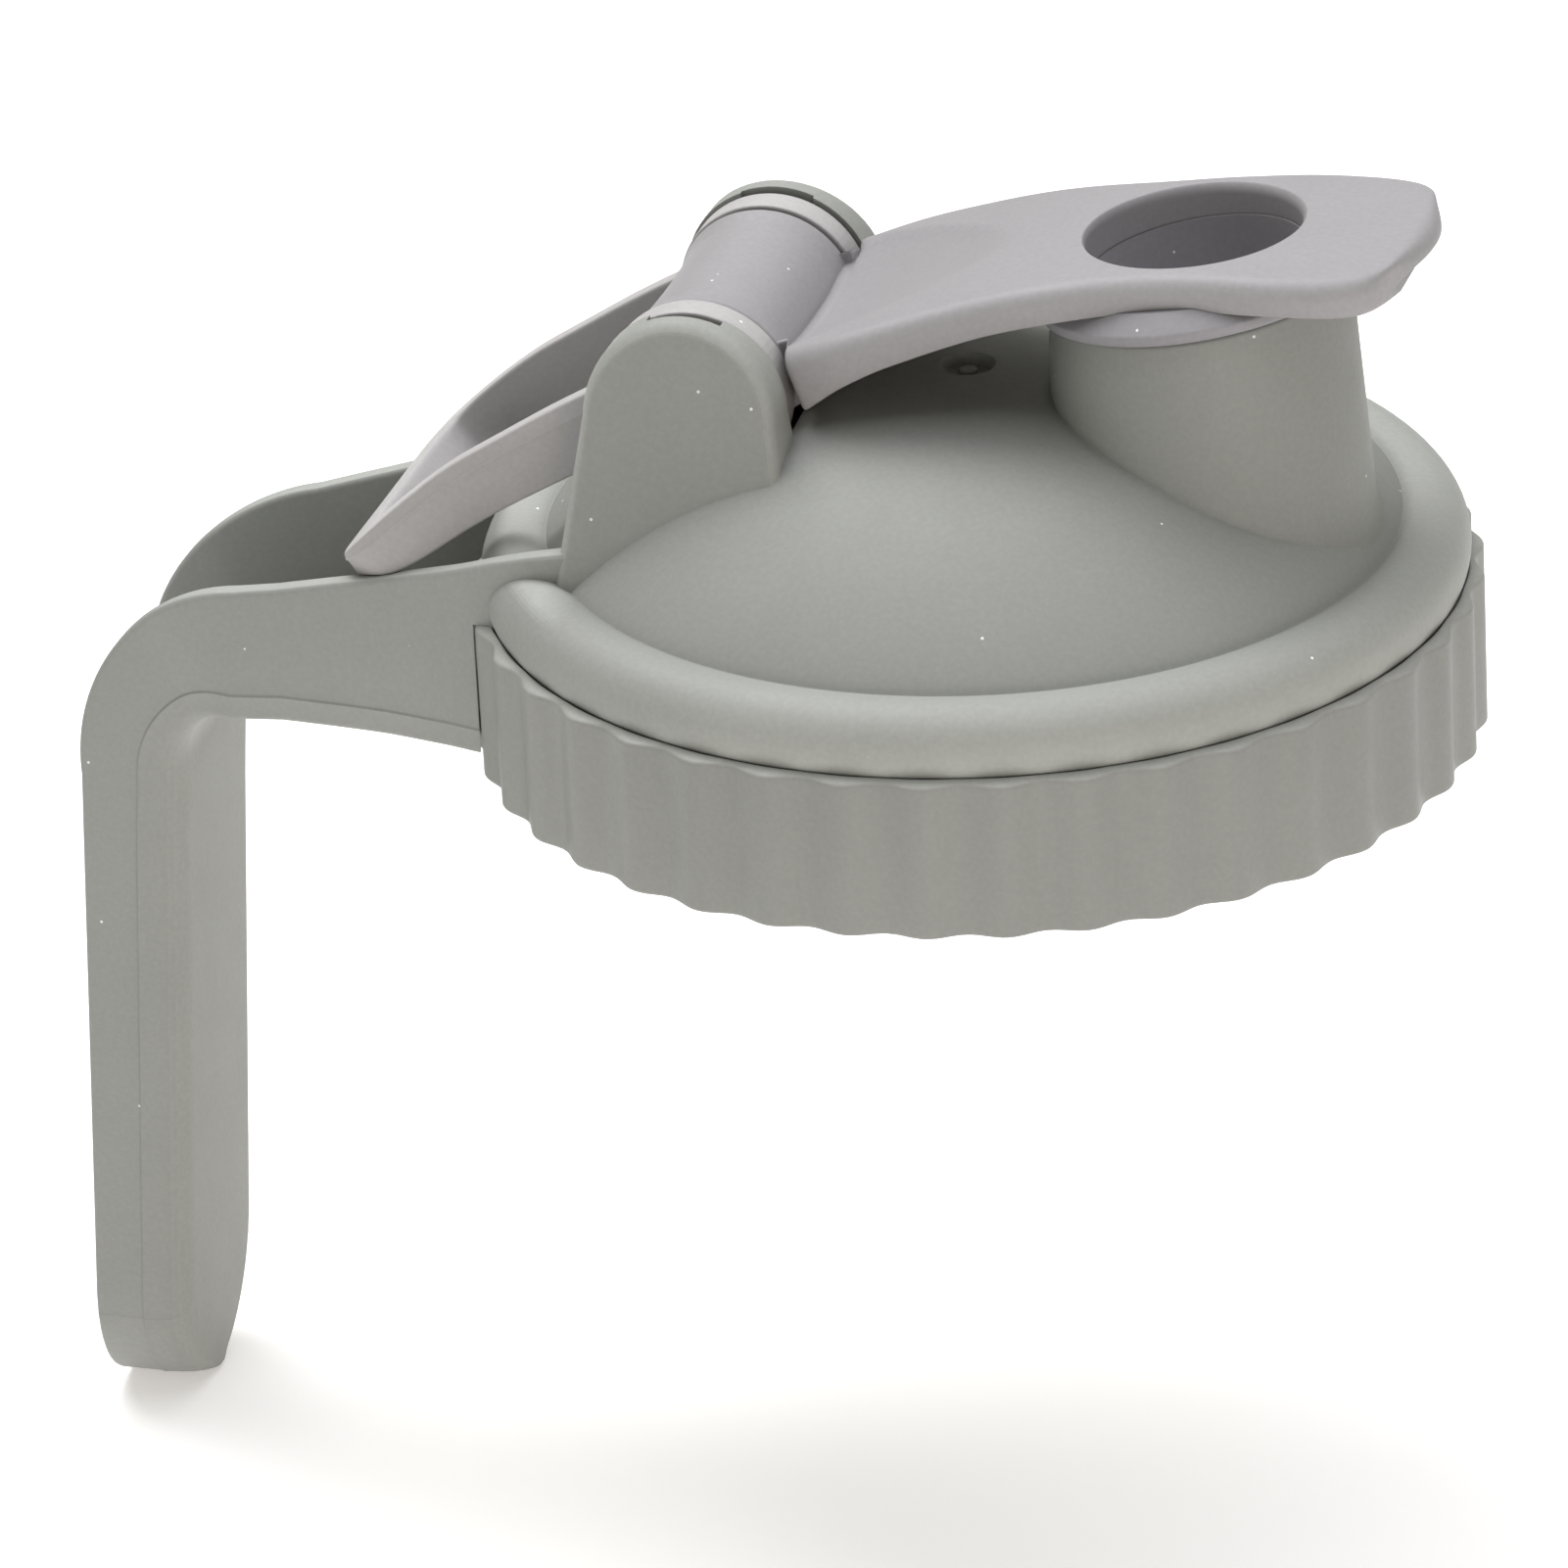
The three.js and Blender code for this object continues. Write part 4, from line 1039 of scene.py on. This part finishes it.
def make_studio():
    floor_z = cad_low.z - studio.floor_gap
    bpy.ops.mesh.primitive_plane_add(size=studio.floor_size, location=(0, 0, floor_z))
    floor = bpy.context.object
    floor.name = "floor"
    paper = bpy.data.materials.new("floor_paper")
    paper.use_nodes = True
    shader = paper.node_tree.nodes["Principled BSDF"]
    shader.inputs["Base Color"].default_value = studio.paper
    shader.inputs["Roughness"].default_value = studio.paper_roughness
    shader.inputs["Emission Color"].default_value = studio.glow
    shader.inputs["Emission Strength"].default_value = studio.glow_strength
    floor.data.materials.append(paper)
    world = bpy.data.worlds.new("studio")
    world.use_nodes = True
    sky = world.node_tree.nodes["Background"]
    sky.inputs["Color"].default_value = studio.sky
    sky.inputs["Strength"].default_value = studio.sky_strength
    bpy.context.scene.world = world
    for lamp in LIGHTS:
        area_light(lamp)
    bpy.context.scene.view_settings.view_transform = "Standard"


# The object

make_camera()

# Zones of painted light and shade, lighter or darker tone by where a surface lies and which way it faces: a
# gain, and the ramps that open it, in metres or as a normal's part
# Painted bounce light: the lower part of the bead towards the handle is made lighter
BEAD_LOW_LIGHT_ZONE = (0.26, [
    ("radius", 0.0392, 0.0405), ("radius", 0.0466, 0.046), ("x", -0.036, -0.008), ("z", 0.0222, 0.0212),
])
# Painted light: the grip's faces turned towards +X are made lighter
GRIP_FACE_LIGHT_ZONE = (0.1, [("facing_x", 0.45, 0.8), ("x", -0.064, -0.068)])
# Painted highlight: the handle's upward-facing rims are made lighter
RIM_HIGHLIGHT_ZONE = (0.45, [("facing_z", 0.75, 0.93), ("x", -0.030, -0.034)])
EAR_BOX = [("z", 0.0215, 0.0225), ("x", -0.011, -0.0115), ("x", -0.036, -0.0345)]
# Painted highlight: the ears' rolled rims are made lighter
EAR_RIM_HIGHLIGHT_ZONE = (0.2, [*EAR_BOX, ("aside", 0.93, 0.8), ("facing_z", 0.62, 0.5)])
# Painted light: the ears' upward-facing tops are made lighter
EAR_TOP_LIGHT_ZONE = (0.2, [("z", 0.0355, 0.0375), ("x", -0.011, -0.0115), ("facing_z", 0.5, 0.62)])
# Painted light: the loop's upward-facing top is made lighter
LOOP_TOP_LIGHT_ZONE = (0.34, [("facing_z", 0.45, 0.7)])
# Painted highlight: the ring's upward-facing lip is made lighter
RING_LIP_HIGHLIGHT_ZONE = (0.35, [("facing_z", 0.25, 0.7)])
# Painted shade: the spout's sides are made a little darker
SPOUT_SHADE_ZONE = (-0.05, [("x", 0.007, 0.009), ("z", 0.0215, 0.024), ("facing_z", 0.5, 0.3)])

# Each plastic: its darker and lighter tint, its roughness and the depth of its grain in millimetres
body_plastic = plastic("body_plastic", (0.267, 0.269, 0.25), (0.291, 0.292, 0.271), 0.56, 0.016, bevel=0.16,
                       zones=(BEAD_LOW_LIGHT_ZONE, GRIP_FACE_LIGHT_ZONE, RIM_HIGHLIGHT_ZONE, SPOUT_SHADE_ZONE, EAR_RIM_HIGHLIGHT_ZONE, EAR_TOP_LIGHT_ZONE))
ring_plastic = plastic("ring_plastic", (0.25, 0.25, 0.23), (0.272, 0.27, 0.25), 0.46, 0.008,
                       zones=(RING_LIP_HIGHLIGHT_ZONE,))
lever_plastic = plastic("lever_plastic", (0.322, 0.308, 0.315), (0.35, 0.336, 0.342), 0.5, 0.008)
loop_plastic = plastic("loop_plastic", (0.345, 0.328, 0.326), (0.372, 0.355, 0.352), 0.5, 0.008,
                       zones=(LOOP_TOP_LIGHT_ZONE,))
stopper_plastic = plastic("stopper_plastic", (0.28, 0.265, 0.28), (0.3, 0.286, 0.3), 0.5, 0.006)
seal_rubber = plastic("seal_rubber", (0.46, 0.46, 0.45), (0.5, 0.5, 0.49), 0.7, 0.01, nick_share=0.004)

finish_piece(make_ring(), "ring_shell", "ring", "screw_ring", ring_plastic)
finish_piece(make_lid(), "lid_shell", "lid", "lid_body", body_plastic)
finish_piece(make_lever(), "lever_shell", "lever", "flip_lever", lever_plastic)
finish_piece(make_stopper(), "stopper_shell", "lever", "spout_stopper", stopper_plastic)
finish_piece(make_loop(), "loop_shell", "loop", "carry_loop", loop_plastic)

for node in ("jar_gasket", "stopper_seal"):
    carried = bpy.data.objects[node]
    carried.data.materials.clear()
    carried.data.materials.append(seal_rubber)

make_studio()
